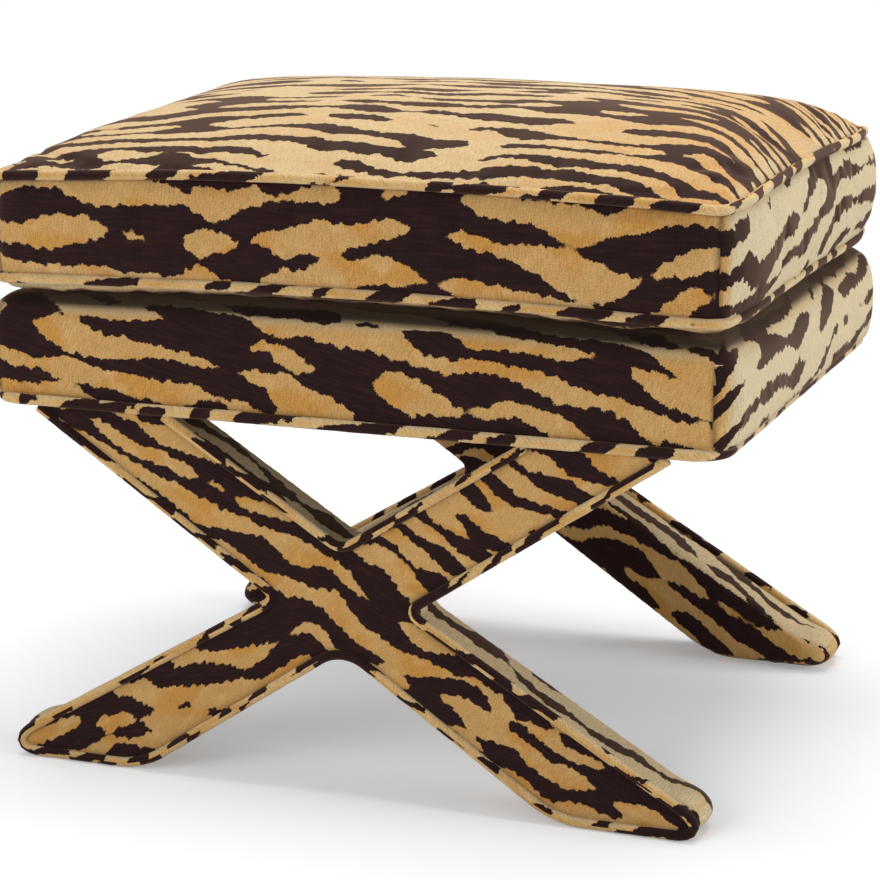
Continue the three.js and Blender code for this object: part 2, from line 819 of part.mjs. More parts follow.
// Cord on the show edge of a run, cut level under the deck's cord
function frameCord(run) {
  const points = run(-frameWeltOutset, frameTop).map(({ x, y }) => {
    return new THREE.Vector3(x, frameWeltSetback, y);
  });
  const wide = armOuterFromMiddle + frameWeltRadius + cutOverrun;
  const deep = frameWeltSetback + frameWeltRadius + cutOverrun;
  const above = block([-wide, wide], [-deep, deep], [faceTop, deckTop]);
  return cut(cord(points, frameWeltRadius), above);
}

// A half-lapped bar. The bar that keeps its front half loses its back half at the crossing.
function lappedBar(lean, keepsFront) {
  const outline = barOutline(lean, frameSeamInset, frameTop);
  const bar = extrudeAlongY(outline, timberFront, timberBack);
  const lapFront = keepsFront ? lapPlane - fitGap / 2 : timberFront - cutOverrun;
  const lapBack = keepsFront ? timberBack + cutOverrun : lapPlane + fitGap / 2;
  const otherBar = barOutline(-lean, frameSeamInset - fitGap, frameTop);
  const lap = extrudeAlongY(otherBar, lapFront, lapBack);
  const armEnd = lean * boltFromMiddle;
  const dowelEnd = lean * dowelFromMiddle;
  const foot = -lean * glideFromMiddle;
  const above = frameTop + cutOverrun;
  const boltEnd = frameTop - boltInTimber - fitGap;
  const dowelBottom = frameTop - dowelInTimber - fitGap;
  const holes = [
    post(armEnd, lapPlane, boltRadius + fitGap, boltEnd, above),
    post(dowelEnd, lapPlane, dowelRadius + fitGap, dowelBottom, above),
    post(foot, lapPlane, glideNailRadius + fitGap, -cutOverrun, nailTop + fitGap),
  ];
  return cut(bar, lap, ...holes);
}

// A nail-on glide: a round foot with a softened rim, and its nail
function glide() {
  const profile = [
    new THREE.Vector2(0, 0),
    new THREE.Vector2(glideRadius - glideEdgeRadius, 0),
    new THREE.Vector2(glideRadius, glideEdgeRadius),
    new THREE.Vector2(glideRadius, glideTop - glideEdgeRadius),
    new THREE.Vector2(glideRadius - glideEdgeRadius, glideTop),
    new THREE.Vector2(glideNailRadius, glideTop),
    new THREE.Vector2(glideNailRadius, nailTop),
    new THREE.Vector2(0, nailTop),
  ];
  return new THREE.LatheGeometry(profile, roundSideCount).rotateX(90 * radians);
}

// One X with its paddings, skins, cords and glides, show face towards -Y at y = 0
function addFrame(frame, towardsY) {
  const group = new THREE.Group();
  const isBack = towardsY > 0;
  group.position.y = (towardsY * deckDepth) / 2;
  group.rotation.z = isBack ? Math.PI : 0;
  stool.add(group);
  const named = (piece) => "x_" + frame + "_" + piece;
  addPiece(named("bar_falling"), lappedBar(-1, true), hardwood, group);
  addPiece(named("bar_rising"), lappedBar(1, false), hardwood, group);
  addPiece(
    named("face_batting"),
    extrudeAlongY(
      frameOutline(frameSeamInset, faceTop),
      faceBattingFront,
      faceBattingFront + battingThickness,
    ),
    fibre,
    group,
  );
  addPiece(
    named("back_batting"),
    extrudeAlongY(
      frameOutline(frameSeamInset, frameTop),
      backBattingFront,
      backBattingFront + battingThickness,
    ),
    fibre,
    group,
  );
  addPiece(
    named("face_panel"),
    extrudeAlongY(frameOutline(frameSeamInset, faceTop), 0, clothThickness),
    cloth,
    group,
  );
  addPiece(
    named("back_panel"),
    extrudeAlongY(frameOutline(0, frameTop), backPanelFront, frameThickness),
    cloth,
    group,
  );
  const boxingBack = backPanelFront - fitGap;
  const soleCuts = hands.map(({ towardsX }) => {
    const x = towardsX * glideFromMiddle;
    return post(x, lapPlane, glideNailRadius + fitGap, -cutOverrun, nailTop);
  });
  addPiece(
    named("boxing_outer"),
    cut(band(outerRun, frameTop, frameBoxingFront, boxingBack), ...soleCuts),
    cloth,
    group,
  );
  addPiece(
    named("boxing_inner"),
    band(innerRun, frameTop, frameBoxingFront, boxingBack),
    cloth,
    group,
  );
  addPiece(named("welt_outer"), frameCord(outerRun), weltCloth, group);
  addPiece(named("welt_inner"), frameCord(innerRun), weltCloth, group);
}

for (const { frame, towardsY } of ends) {
  addFrame(frame, towardsY);
}

function bolt() {
  const shank = post(0, 0, boltRadius, frameTop - boltInTimber, boltSeat);
  const toCorner = boltHeadAcross / 2 / Math.cos(Math.PI / hexagonSideCount);
  const head = post(0, 0, toCorner, boltSeat, boltSeat + boltHeadHeight, hexagonSideCount);
  return joined(shank, head);
}

function washer() {
  const ring = post(0, 0, washerRadius, washerBase, washerBase + washerThickness);
  const bore = post(0, 0, boltRadius + fitGap, washerBase - cutOverrun, boltSeat + cutOverrun);
  return cut(ring, bore);
}

function dowel() {
  return post(0, 0, dowelRadius, frameTop - dowelInTimber, deckUnderside + dowelInRail);
}

for (const { frame, towardsY } of ends) {
  for (const { hand, towardsX } of hands) {
    const place = [frame, hand].join("_");
    const y = towardsY * timberMiddle;
    const boltX = towardsX * boltFromMiddle;
    const glideX = towardsX * glideFromMiddle;
    addPiece("glide_" + place, glide(), blackPlastic).position.set(glideX, y, 0);
    addPiece("bolt_" + place, bolt(), zincSteel).position.set(boltX, y, 0);
    addPiece("washer_" + place, washer(), zincSteel).position.set(boltX, y, 0);
    const dowelX = towardsX * dowelFromMiddle;
    addPiece("dowel_" + place, dowel(), hardwood).position.set(dowelX, y, 0);
  }
}

// Black cloth under the deck, cut out round the four arms
function dustCover() {
  const halfX = deckWidth / 2 - dustCoverInset;
  const halfY = deckDepth / 2 - dustCoverInset;
  const high = deckUnderside - fitGap;
  const low = high - dustCoverThickness;
  const sheet = block([-halfX, halfX], [-halfY, halfY], [low, high]);
  const notchInner = armInnerFromMiddle - notchMargin;
  const notchOuter = armOuterFromMiddle + fitGap;
  const notches = [];
  for (const { towardsY } of ends) {
    for (const { towardsX } of hands) {
      const xs = [towardsX * notchInner, towardsX * notchOuter];
      const ys = [
        towardsY * (deckDepth / 2 - frameThickness - fitGap),
        towardsY * (deckDepth / 2 + cutOverrun),
      ];
      notches.push(
        block(
          [Math.min(...xs), Math.max(...xs)],
          [Math.min(...ys), Math.max(...ys)],
          [low - cutOverrun, high + cutOverrun],
        ),
      );
    }
  }
  return cut(sheet, ...notches);
}

addPiece("dust_cover", dustCover(), blackCloth, deck);

export default stool;
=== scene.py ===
"""Looks of an x frame stool: a loose box cushion on a padded deck, on two crossed frames.

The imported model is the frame. Lengths are in metres in its frame of reference: +Z is up, the
front faces -Y, and the origin is on the floor under the middle of the stool. Every padded piece
and every cord is wrapped in one tiger stripe velvet, which is drawn in metres of cloth through
each piece's own UV map.
"""

import logging
import math
from collections.abc import Callable
from dataclasses import dataclass, field
from enum import Enum

import bmesh
import bpy
import numpy as np
from mathutils import Matrix, Vector, noise


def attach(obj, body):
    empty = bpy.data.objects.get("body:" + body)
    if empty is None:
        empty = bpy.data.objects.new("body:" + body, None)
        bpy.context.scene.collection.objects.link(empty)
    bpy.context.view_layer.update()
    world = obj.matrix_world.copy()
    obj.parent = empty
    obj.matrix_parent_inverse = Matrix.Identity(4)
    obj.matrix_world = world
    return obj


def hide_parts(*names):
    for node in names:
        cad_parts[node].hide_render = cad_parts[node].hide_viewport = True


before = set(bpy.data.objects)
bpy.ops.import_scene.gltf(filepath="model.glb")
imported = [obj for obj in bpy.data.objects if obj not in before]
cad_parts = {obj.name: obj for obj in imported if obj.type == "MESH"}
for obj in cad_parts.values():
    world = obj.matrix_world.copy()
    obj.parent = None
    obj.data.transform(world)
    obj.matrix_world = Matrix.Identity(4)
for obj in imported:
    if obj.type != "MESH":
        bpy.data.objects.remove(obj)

LOG = logging.getLogger("x_frame_stool")
CLOTH_MAP = "cloth"
# share of painted shade at each vertex: along seams, beside cords and in contact shadow bands
SEAM_SHADE = "seam_shade"
# painted sheen and light: share by which each vertex of the velvet is painted pale
PAINTED_SHEEN = "nap"
MM = 0.001
TINY = 1e-7
SMALL = 1e-4
NEAR = 1e-5
CORD_STEP = 4 * MM
SIDE_POWER = 8  # how fast the swell of a side dies out on the sides next to it
WHITE = (1.0, 1.0, 1.0, 1.0)

Places = np.ndarray
FlatRule = Callable[[Places], Places]


class Side(Enum):
    """The four sides of the stool, by the way they face."""

    FRONT = (0, -1)
    RIGHT = (1, 0)
    BACK = (0, 1)
    LEFT = (-1, 0)


class End(Enum):
    """The two crossed frames, with the sign of their place along Y."""

    FRONT = -1
    BACK = 1


# Shader writing


def linear(code: str) -> tuple[float, float, float, float]:
    """Turns a screen colour into the linear one that shaders use.

    Args:
        code: six hexadecimal digits.

    Returns:
        Red, green, blue and an alpha of 1.
    """
    parts = [int(code[place : place + 2], 16) / 255 for place in (0, 2, 4)]
    spread = [p / 12.92 if p <= 0.04045 else ((p + 0.055) / 1.055) ** 2.4 for p in parts]
    return (*spread, 1.0)


class Signal:
    """A number that varies over a surface. Arithmetic on it adds Math nodes."""

    def __init__(self, recipe: "Recipe", socket: bpy.types.NodeSocket) -> None:
        """Wraps an output socket of a recipe's tree."""
        self.recipe = recipe
        self.socket = socket

    def __add__(self, other: "Signal | float") -> "Signal":
        """Sum."""
        return self.recipe.math("ADD", self, other)

    def __radd__(self, other: float) -> "Signal":
        """Sum with a number on the left."""
        return self.recipe.math("ADD", other, self)

    def __sub__(self, other: "Signal | float") -> "Signal":
        """Difference."""
        return self.recipe.math("SUBTRACT", self, other)

    def __rsub__(self, other: float) -> "Signal":
        """Difference from a number on the left."""
        return self.recipe.math("SUBTRACT", other, self)

    def __mul__(self, other: "Signal | float") -> "Signal":
        """Product."""
        return self.recipe.math("MULTIPLY", self, other)

    def __rmul__(self, other: float) -> "Signal":
        """Product with a number on the left."""
        return self.recipe.math("MULTIPLY", other, self)

    def sine(self) -> "Signal":
        """Sine of the value in radians."""
        return self.recipe.math("SINE", self)

    def ramp(self, low: float, high: float) -> "Signal":
        """Smooth step from 0 to 1.

        Args:
            low: value at which the step starts.
            high: value at which it ends.

        Returns:
            The share of the way, from 0 to 1.
        """
        made = self.recipe.node(
            "ShaderNodeMapRange",
            {"interpolation_type": "SMOOTHSTEP", "clamp": True},
            {"Value": self, "From Min": low, "From Max": high},
        )
        return Signal(self.recipe, made.outputs["Result"])


@dataclass(frozen=True)
class Swirl:
    """A warp by smooth noise: its waves per metre and how far it moves a place, in metres."""

    scale: float
    reach: float


class Recipe:
    """The node tree of a material or of the world, with one method that adds any node."""

    def __init__(self, owner: bpy.types.Material | bpy.types.World) -> None:
        """Empties the tree of a new material or world.

        Args:
            owner: the material or world.
        """
        self.owner = owner
        owner.use_nodes = True
        self.tree = owner.node_tree
        self.tree.nodes.clear()

    def node(
        self, kind: str, settings: dict | None = None, inputs: dict | None = None
    ) -> bpy.types.Node:
        """Adds a node.

        Args:
            kind: the node's type.
            settings: its properties, which are set first.
            inputs: values or links by the name or index of its sockets.

        Returns:
            The new node.
        """
        made = self.tree.nodes.new(kind)
        for name, value in (settings or {}).items():
            setattr(made, name, value)
        for key, value in (inputs or {}).items():
            if isinstance(value, Signal):
                value = value.socket
            if isinstance(value, bpy.types.NodeSocket):
                self.tree.links.new(value, made.inputs[key])
            else:
                made.inputs[key].default_value = value
        return made

    def math(self, operation: str, *values: "Signal | float") -> Signal:
        """Adds a Math node on one or two values and returns its result.

        Args:
            operation: the node's operation.
            values: numbers or links.

        Returns:
            The result.
        """
        inputs = dict(enumerate(values))
        made = self.node("ShaderNodeMath", {"operation": operation}, inputs)
        return Signal(self, made.outputs["Value"])

    def vector(self, operation: str, *values: object) -> bpy.types.NodeSocket:
        """Adds a Vector Math node on vectors and returns its result.

        Args:
            operation: the node's operation.
            values: vectors or links.

        Returns:
            The result's socket.
        """
        inputs = dict(enumerate(values))
        made = self.node("ShaderNodeVectorMath", {"operation": operation}, inputs)
        return made.outputs["Vector"]

    def mix(
        self, share: Signal | float, first: object, second: object, blend: str = "MIX"
    ) -> bpy.types.NodeSocket:
        """Mixes two colours.

        Args:
            share: how much of the second one, from 0 to 1.
            first: colour or link.
            second: colour or link.
            blend: the blend type.

        Returns:
            The mixed colour's socket.
        """
        made = self.node(
            "ShaderNodeMix",
            {"data_type": "RGBA", "blend_type": blend},
            {0: share, 6: first, 7: second},
        )
        return made.outputs[2]

    def noise(
        self, place: bpy.types.NodeSocket, scale: float, detail: float = 0.0, flat: bool = True
    ) -> Signal:
        """Smooth noise from 0 to 1 at a place, with its scale in waves per metre.

        Args:
            place: the place's socket.
            scale: waves per metre.
            detail: number of finer layers.
            flat: whether the place has two coordinates or three.

        Returns:
            The noise, from 0 to 1.
        """
        made = self.node(
            "ShaderNodeTexNoise",
            {"noise_dimensions": "2D" if flat else "3D"},
            {"Vector": place, "Scale": scale, "Detail": detail, "Roughness": 0.5},
        )
        return Signal(self, made.outputs["Fac"])

    def stretched_noise(
        self,
        place: bpy.types.NodeSocket,
        scale: tuple[float, float, float],
        detail: float = 0.0,
        flat: bool = True,
    ) -> Signal:
        """Noise that runs one way, with its waves per metre axis by axis."""
        return self.noise(self.vector("MULTIPLY", place, scale), 1.0, detail, flat)

    def swirl(self, place: bpy.types.NodeSocket, warp: Swirl) -> bpy.types.NodeSocket:
        """Moves a place by smooth noise.

        Args:
            place: the place's socket.
            warp: the noise's scale and reach.

        Returns:
            The moved place's socket.
        """
        made = self.node(
            "ShaderNodeTexNoise",
            {"noise_dimensions": "2D"},
            {"Vector": place, "Scale": warp.scale, "Detail": 0.0},
        )
        centred = self.vector("SUBTRACT", made.outputs["Color"], (0.5, 0.5, 0.5))
        reach = (warp.reach, warp.reach, 0)
        return self.vector("ADD", place, self.vector("MULTIPLY", centred, reach))

    def attribute(self, name: str) -> Signal:
        """Value of one of the mesh's attributes."""
        made = self.node("ShaderNodeAttribute", {"attribute_name": name})
        return Signal(self, made.outputs["Fac"])

    def object_place(self) -> bpy.types.NodeSocket:
        """Object coordinates, in metres."""
        return self.node("ShaderNodeTexCoord").outputs["Object"]

    def axis(self, place: bpy.types.NodeSocket, name: str) -> Signal:
        """One coordinate of a place."""
        return Signal(self, self.node("ShaderNodeSeparateXYZ", None, {0: place}).outputs[name])

    def seen(self) -> Signal:
        """1 on rays that carry the picture, straight, by a gloss or through glass, else 0.

        Returns:
            1 or 0.
        """
        path = self.node("ShaderNodeLightPath")
        rays = ("Is Camera Ray", "Is Glossy Ray", "Is Transmission Ray")
        straight, gloss, through = (Signal(self, path.outputs[ray]) for ray in rays)
        return self.math("MINIMUM", straight + gloss + through, 1.0)

    def bump(self, height: Signal, strength: float, distance: float) -> bpy.types.NodeSocket:
        """Adds a Bump node and returns its normal.

        Args:
            height: relief from 0 to 1.
            strength: share of the effect.
            distance: depth of the relief, in metres.

        Returns:
            The normal's socket.
        """
        made = self.node(
            "ShaderNodeBump", None, {"Strength": strength, "Distance": distance, "Height": height}
        )
        return made.outputs["Normal"]

    def ended(
        self, shader: bpy.types.Node, output: str = "ShaderNodeOutputMaterial"
    ) -> bpy.types.Material | bpy.types.World:
        """Ends the tree in a shader and returns the material or world."""
        self.node(output, None, {"Surface": shader.outputs[0]})
        return self.owner

    def principled(self, inputs: dict) -> bpy.types.Material:
        """Ends the tree in a Principled shader with these inputs and returns the material."""
        return self.ended(self.node("ShaderNodeBsdfPrincipled", None, inputs))

    def between(
        self, share: Signal, first: bpy.types.Node, second: bpy.types.Node
    ) -> bpy.types.Node:
        """Adds a Mix Shader node between two shaders."""
        inputs = {0: share, 1: first.outputs[0], 2: second.outputs[0]}
        return self.node("ShaderNodeMixShader", None, inputs)


# Finishes


@dataclass(frozen=True)
class TigerVelvet:
    """Cut velvet in gold and near black, with an irregular tiger stripe along U."""

    name: str
    tan: str = "cb9f62"
    amber: str = "c8924a"
    pale: str = "d8b074"
    dark: str = "231314"
    brown: str = "2f1a1a"
    # painted sheen and light: pale gold and lightened dark pile for faces turned to the light or
    # seen at a slant
    sheen_paint: str = "d2c29e"
    sheen_paint_dark: str = "2c1a16"
    # painted shade: the colour that seams, cord edges and contact bands are darkened towards
    painted_shade_colour: str = "120b0b"
    seam_depth: float = 0.94
    period: float = 31 * MM
    warps: tuple[Swirl, ...] = (
        Swirl(700.0, 2.2 * MM),
        Swirl(150.0, 5.8 * MM),
        Swirl(5.5, 60 * MM),
        Swirl(16.0, 17 * MM),
    )
    island_waves: tuple[float, float, float] = (13.0, 27.0, 1.0)
    island_weight: float = 3.4
    break_waves: tuple[float, float, float] = (24.0, 17.0, 1.0)
    break_weight: float = 2.9
    # painted sheen also pushes the stripes towards gold
    nap_weight: float = 0.4
    gold_bias: float = -0.05
    edge: float = 0.05
    thread_waves: float = 900.0
    slub_waves: tuple[float, float, float] = (900.0, 120.0, 1.0)
    warmth_waves: tuple[float, float, float] = (14.0, 24.0, 1.0)
    cloud_waves: float = 45.0
    streak_waves: tuple[float, float, float] = (35.0, 420.0, 1.0)
    relief: float = 0.5 * MM
    sheen: float = 0.28

    def stripes(self, recipe: Recipe, cloth: bpy.types.NodeSocket, nap: Signal) -> Signal:
        """Builds the share of gold pile.

        Args:
            recipe: the material's recipe.
            cloth: place on the cloth, in metres.
            nap: 1 where the pile is painted pale as sheen and light, which also shows more gold.

        Returns:
            1 on gold pile and 0 on dark pile, with ragged edges.
        """
        for warp in self.warps:
            cloth = recipe.swirl(cloth, warp)
        wave = (recipe.axis(cloth, "Y") * (2 * math.pi / self.period)).sine()
        islands = recipe.stretched_noise(cloth, self.island_waves)
        breaks = recipe.stretched_noise(cloth, self.break_waves)
        drawn = wave + (islands - 0.5) * self.island_weight + (breaks - 0.5) * self.break_weight
        return (drawn + nap * self.nap_weight + self.gold_bias).ramp(-self.edge, self.edge)

    def make(self) -> bpy.types.Material:
        """Builds the material from the cloth's UV map.

        Returns:
            The material.
        """
        recipe = Recipe(bpy.data.materials.new(self.name))
        cloth = recipe.node("ShaderNodeUVMap", {"uv_map": CLOTH_MAP}).outputs["UV"]
        nap = recipe.attribute(PAINTED_SHEEN)
        gold = self.stripes(recipe, cloth, nap)
        thread = recipe.noise(cloth, self.thread_waves, detail=2.0)
        slub = recipe.stretched_noise(cloth, self.slub_waves, detail=1.0)
        warmth = recipe.stretched_noise(cloth, self.warmth_waves, detail=1.0)
        cloud = recipe.noise(cloth, self.cloud_waves, detail=2.0)
        streak = recipe.stretched_noise(cloth, self.streak_waves, detail=2.0)
        pile = recipe.mix(warmth.ramp(0.46, 0.64), linear(self.tan), linear(self.amber))
        pile = recipe.mix(cloud.ramp(0.5, 0.75) * 0.5, pile, linear(self.pale))
        # painted sheen and light: gold pile painted pale by the sheen share
        pile = recipe.mix(nap, pile, linear(self.sheen_paint))
        ground = recipe.mix(streak.ramp(0.35, 0.72), linear(self.dark), linear(self.brown))
        # painted sheen and light: dark pile painted lighter by the sheen share
        ground = recipe.mix(nap, ground, linear(self.sheen_paint_dark))
        colour = recipe.mix(gold, ground, pile)
        grain = (thread - 0.5) * 0.9 + (slub - 0.5) * 0.5 + 1.0
        tone = recipe.node("ShaderNodeCombineXYZ", None, {0: grain, 1: grain, 2: grain})
        colour = recipe.mix(1.0, colour, tone.outputs[0], "MULTIPLY")
        # painted shade: the pile is darkened by the seam_shade share
        shade = recipe.attribute(SEAM_SHADE) * self.seam_depth
        height = gold * 0.55 + thread * 0.45 + slub * 0.12
        return recipe.principled(
            {
                "Base Color": recipe.mix(shade, colour, linear(self.painted_shade_colour)),
                "Roughness": 0.9,
                "Specular IOR Level": 0.12,
                "Sheen Weight": self.sheen,
                "Sheen Roughness": 0.42,
                "Sheen Tint": (1.0, 0.62, 0.4, 1.0),
                "Normal": recipe.bump(height, 0.55, self.relief),
            }
        )


@dataclass(frozen=True)
class Timber:
    """Planed hardwood or the face of plywood, with its grain along one axis."""

    name: str
    squeeze: tuple[float, float, float]
    light: str = "cda574"
    deep: str = "a67a4b"
    pore_share: float = 6.0
    relief: float = 0.4 * MM

    def make(self) -> bpy.types.Material:
        """Builds the material on Object coordinates.

        Returns:
            The material.
        """
        recipe = Recipe(bpy.data.materials.new(self.name))
        place = recipe.object_place()
        fine = tuple(self.pore_share * waves for waves in self.squeeze)
        grain = recipe.stretched_noise(place, self.squeeze, detail=4.0, flat=False)
        pores = recipe.stretched_noise(place, fine, detail=2.0, flat=False)
        figure = grain.ramp(0.38, 0.62) * 0.75 + pores.ramp(0.55, 0.75) * 0.25
        return recipe.principled(
            {
                "Base Color": recipe.mix(figure, linear(self.light), linear(self.deep)),
                "Roughness": pores * 0.2 + 0.5,
                "Normal": recipe.bump(figure, 0.15, self.relief),
            }
        )


@dataclass(frozen=True)
class FineGrain:
    """A plain material with fine grain in its tone, roughness and relief."""

    name: str
    light: str
    deep: str
    scale: float
    roughness: float
    metallic: float = 0.0
    relief: float = 0.2 * MM
    cloud_share: float = 0.06

    def make(self) -> bpy.types.Material:
        """Builds the material on Object coordinates.

        Returns:
            The material.
        """
        recipe = Recipe(bpy.data.materials.new(self.name))
        place = recipe.object_place()
        grain = recipe.noise(place, self.scale, detail=3.0, flat=False)
        cloud = recipe.noise(place, self.scale * self.cloud_share, detail=2.0, flat=False)
        tone = grain.ramp(0.35, 0.65) * 0.6 + cloud.ramp(0.3, 0.7) * 0.4
        return recipe.principled(
            {
                "Base Color": recipe.mix(tone, linear(self.light), linear(self.deep)),
                "Roughness": cloud * 0.16 + (self.roughness - 0.08),
                "Metallic": self.metallic,
                "Normal": recipe.bump(grain, 0.3, self.relief),
            }
        )


@dataclass(frozen=True)
class DustCloth:
    """Black non-woven cloth with point bonds in rows."""

    name: str
    light: str = "1a1a1b"
    deep: str = "39383a"
    bond_pitch: float = 2.2 * MM
    fibre_waves: float = 700.0
    relief: float = 0.2 * MM

    def make(self) -> bpy.types.Material:
        """Builds the material on Object coordinates.

        Returns:
            The material.
        """
        recipe = Recipe(bpy.data.materials.new(self.name))
        place = recipe.object_place()
        turn = 2 * math.pi / self.bond_pitch
        dots_x, dots_y = ((recipe.axis(place, name) * turn).sine() for name in "XY")
        dots = (dots_x * dots_y).ramp(0.45, 0.85)
        fibres = recipe.noise(place, self.fibre_waves, detail=3.0, flat=False)
        tone = fibres * 0.7 + dots * 0.3
        return recipe.principled(
            {
                "Base Color": recipe.mix(tone, linear(self.light), linear(self.deep)),
                "Roughness": 0.9,
                "Normal": recipe.bump(fibres - dots * 0.6, 0.4, self.relief),
            }
        )


@dataclass(frozen=True)
class StudioFloor:
    """White floor that keeps a soft grey shadow and glows to pure white away from it."""

    name: str = "studio_floor"
    matt: str = "f3f5f8"
    lift: float = 0.22
    near: float = 0.55
    far: float = 1.9

    def make(self) -> bpy.types.Material:
        """Builds the material on Object coordinates.

        Returns:
            The material.
        """
        recipe = Recipe(bpy.data.materials.new(self.name))
        place = recipe.object_place()
        reach = recipe.node("ShaderNodeVectorMath", {"operation": "LENGTH"}, {0: place})
        reach = Signal(recipe, reach.outputs["Value"]).ramp(self.near, self.far)
        seen = recipe.seen()
        matt = recipe.node(
            "ShaderNodeBsdfDiffuse", None, {"Color": linear(self.matt), "Roughness": 0.6}
        )
        glow, white = (
            recipe.node("ShaderNodeEmission", None, {"Color": WHITE, "Strength": strength})
            for strength in (self.lift, 1.0)
        )
        both = recipe.node("ShaderNodeAddShader", None, {0: matt.outputs[0], 1: glow.outputs[0]})
        near = recipe.between(seen, matt, both)
        return recipe.ended(recipe.between(seen * reach, near, white))


# Mesh helpers


def rows_of(items: bpy.types.bpy_prop_collection, what: str) -> Places:
    """Places or normals of a mesh's vertices or faces as rows of an array.

    Args:
        items: the mesh's vertices or polygons.
        what: the property: co, center or normal.

    Returns:
        Rows of three numbers.
    """
    flat = np.empty(len(items) * 3, np.float32)
    items.foreach_get(what, flat)
    return flat.reshape(-1, 3)


def places_of(mesh: bpy.types.Mesh) -> Places:
    """Places of a mesh's vertices, in double precision."""
    return rows_of(mesh.vertices, "co").astype(float)


def face_facts(mesh: bpy.types.Mesh) -> tuple[Places, Places]:
    """Centres and normals of a mesh's faces, as two arrays."""
    return rows_of(mesh.polygons, "center"), rows_of(mesh.polygons, "normal")


def move_to(mesh: bpy.types.Mesh, places: Places) -> None:
    """Puts a mesh's vertices at new places."""
    mesh.vertices.foreach_set("co", places.astype(np.float32).ravel())
    mesh.update()


def new_piece(name: str, mesh: bpy.types.Mesh) -> bpy.types.Object:
    """Links a mesh into the scene as an object at the origin.

    Args:
        name: the object's name.
        mesh: its mesh.

    Returns:
        The object.
    """
    piece = bpy.data.objects.new(name, mesh)
    bpy.context.scene.collection.objects.link(piece)
    return piece


def from_bmesh(name: str, source: bmesh.types.BMesh) -> bpy.types.Mesh:
    """Turns a bmesh into a mesh and frees it.

    Args:
        name: the mesh's name.
        source: the bmesh, which is freed.

    Returns:
        The mesh, with its normals facing outwards.
    """
    bmesh.ops.recalc_face_normals(source, faces=source.faces)
    mesh = bpy.data.meshes.new(name)
    source.to_mesh(mesh)
    source.free()
    return mesh


def bevelled(
    source: bmesh.types.BMesh,
    items: list[bmesh.types.BMVert] | list[bmesh.types.BMEdge],
    reach: float,
    segments: int = 6,
    affect: str = "EDGES",
) -> None:
    """Bevels edges or corners of a bmesh.

    Args:
        source: the bmesh.
        items: the edges or vertices.
        reach: the bevel's offset.
        segments: steps round the bevel.
        affect: EDGES or VERTICES.
    """
    bmesh.ops.bevel(
        source,
        geom=items,
        offset=reach,
        segments=segments,
        profile=0.5,
        affect=affect,
        material=-1,
    )


def baked(piece: bpy.types.Object, kind: str, **settings: object) -> None:
    """Applies one modifier to a piece.

    Args:
        piece: the object.
        kind: the modifier's type.
        settings: the modifier's properties.
    """
    modifier = piece.modifiers.new(kind.lower(), kind)
    for name, value in settings.items():
        setattr(modifier, name, value)
    graph = bpy.context.evaluated_depsgraph_get()
    shaped = bpy.data.meshes.new_from_object(piece.evaluated_get(graph))
    old = piece.data
    piece.modifiers.clear()
    piece.data = shaped
    bpy.data.meshes.remove(old)


def remeshed(piece: bpy.types.Object, voxel: float, passes: int = 3) -> None:
    """Remeshes a closed piece into even squares of a given size, and evens them out."""
    baked(piece, "REMESH", mode="VOXEL", voxel_size=voxel, use_smooth_shade=True)
    baked(piece, "SMOOTH", factor=0.5, iterations=passes)


def smooth_noise(places: Places, waves: float, seed: float) -> np.ndarray:
    """Smooth noise at each place.

    Args:
        places: rows of x, y and z.
        waves: waves per metre.
        seed: shifts the pattern.

    Returns:
        Values from about -1 to 1.
    """
    shift = Vector((seed, 2.7 * seed, -1.3 * seed))
    return np.array([noise.noise(Vector(place) * waves + shift) for place in places])


def dress(piece: bpy.types.Object, body: str, finish: bpy.types.Material) -> None:
    """Gives a piece its finish, smooth shading, slot and body, and reports it.

    Args:
        piece: the object.
        body: stool or cushion.
        finish: its material.
    """
    piece.data.materials.clear()
    piece.data.materials.append(finish)
    piece.data.polygons.foreach_set("use_smooth", [True] * len(piece.data.polygons))
    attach(piece, body)
    LOG.info("%s: %d faces on %s", piece.name, len(piece.data.polygons), body)


@dataclass(frozen=True)
class Cut:
    """Where and at which angle a panel is cut from the roll of cloth."""

    turn: float = 0.0
    along: float = 0.0
    across: float = 0.0

    def on_roll(self, flat: Places) -> Places:
        """Places on the roll of cloth.

        Args:
            flat: rows of two coordinates on the panel, in metres.

        Returns:
            Rows of two coordinates on the roll.
        """
        angle = math.radians(self.turn)
        cos, sin = math.cos(angle), math.sin(angle)
        run = flat[:, 0] * cos + flat[:, 1] * sin + self.along
        rise = flat[:, 1] * cos - flat[:, 0] * sin + self.across
        return np.stack([run, rise], axis=1)


def lay_cloth(
    mesh: bpy.types.Mesh, panel_of_face: np.ndarray, flats: list[tuple[FlatRule, Cut]]
) -> None:
    """Writes the cloth's UV map, panel by panel.

    Args:
        mesh: the mesh.
        panel_of_face: index into the panels for each face.
        flats: for each panel, what flattens places on the piece, and its cut from the roll.
    """
    places = places_of(mesh)
    corner_vertex = np.empty(len(mesh.loops), np.int32)
    mesh.loops.foreach_get("vertex_index", corner_vertex)
    counts = np.empty(len(mesh.polygons), np.int32)
    mesh.polygons.foreach_get("loop_total", counts)
    panel = np.repeat(panel_of_face, counts)
    cloth = np.zeros((len(mesh.loops), 2))
    for index, (flat, cut) in enumerate(flats):
        chosen = panel == index
        cloth[chosen] = cut.on_roll(flat(places[corner_vertex[chosen]]))
    layer = mesh.uv_layers.new(name=CLOTH_MAP)
    layer.data.foreach_set("uv", cloth.astype(np.float32).ravel())


def eased(values: np.ndarray, low: float, high: float) -> np.ndarray:
    """A smooth step from 0 at one value to 1 at another."""
    share = np.clip((values - low) / (high - low), 0, 1)
    return share * share * (3 - 2 * share)


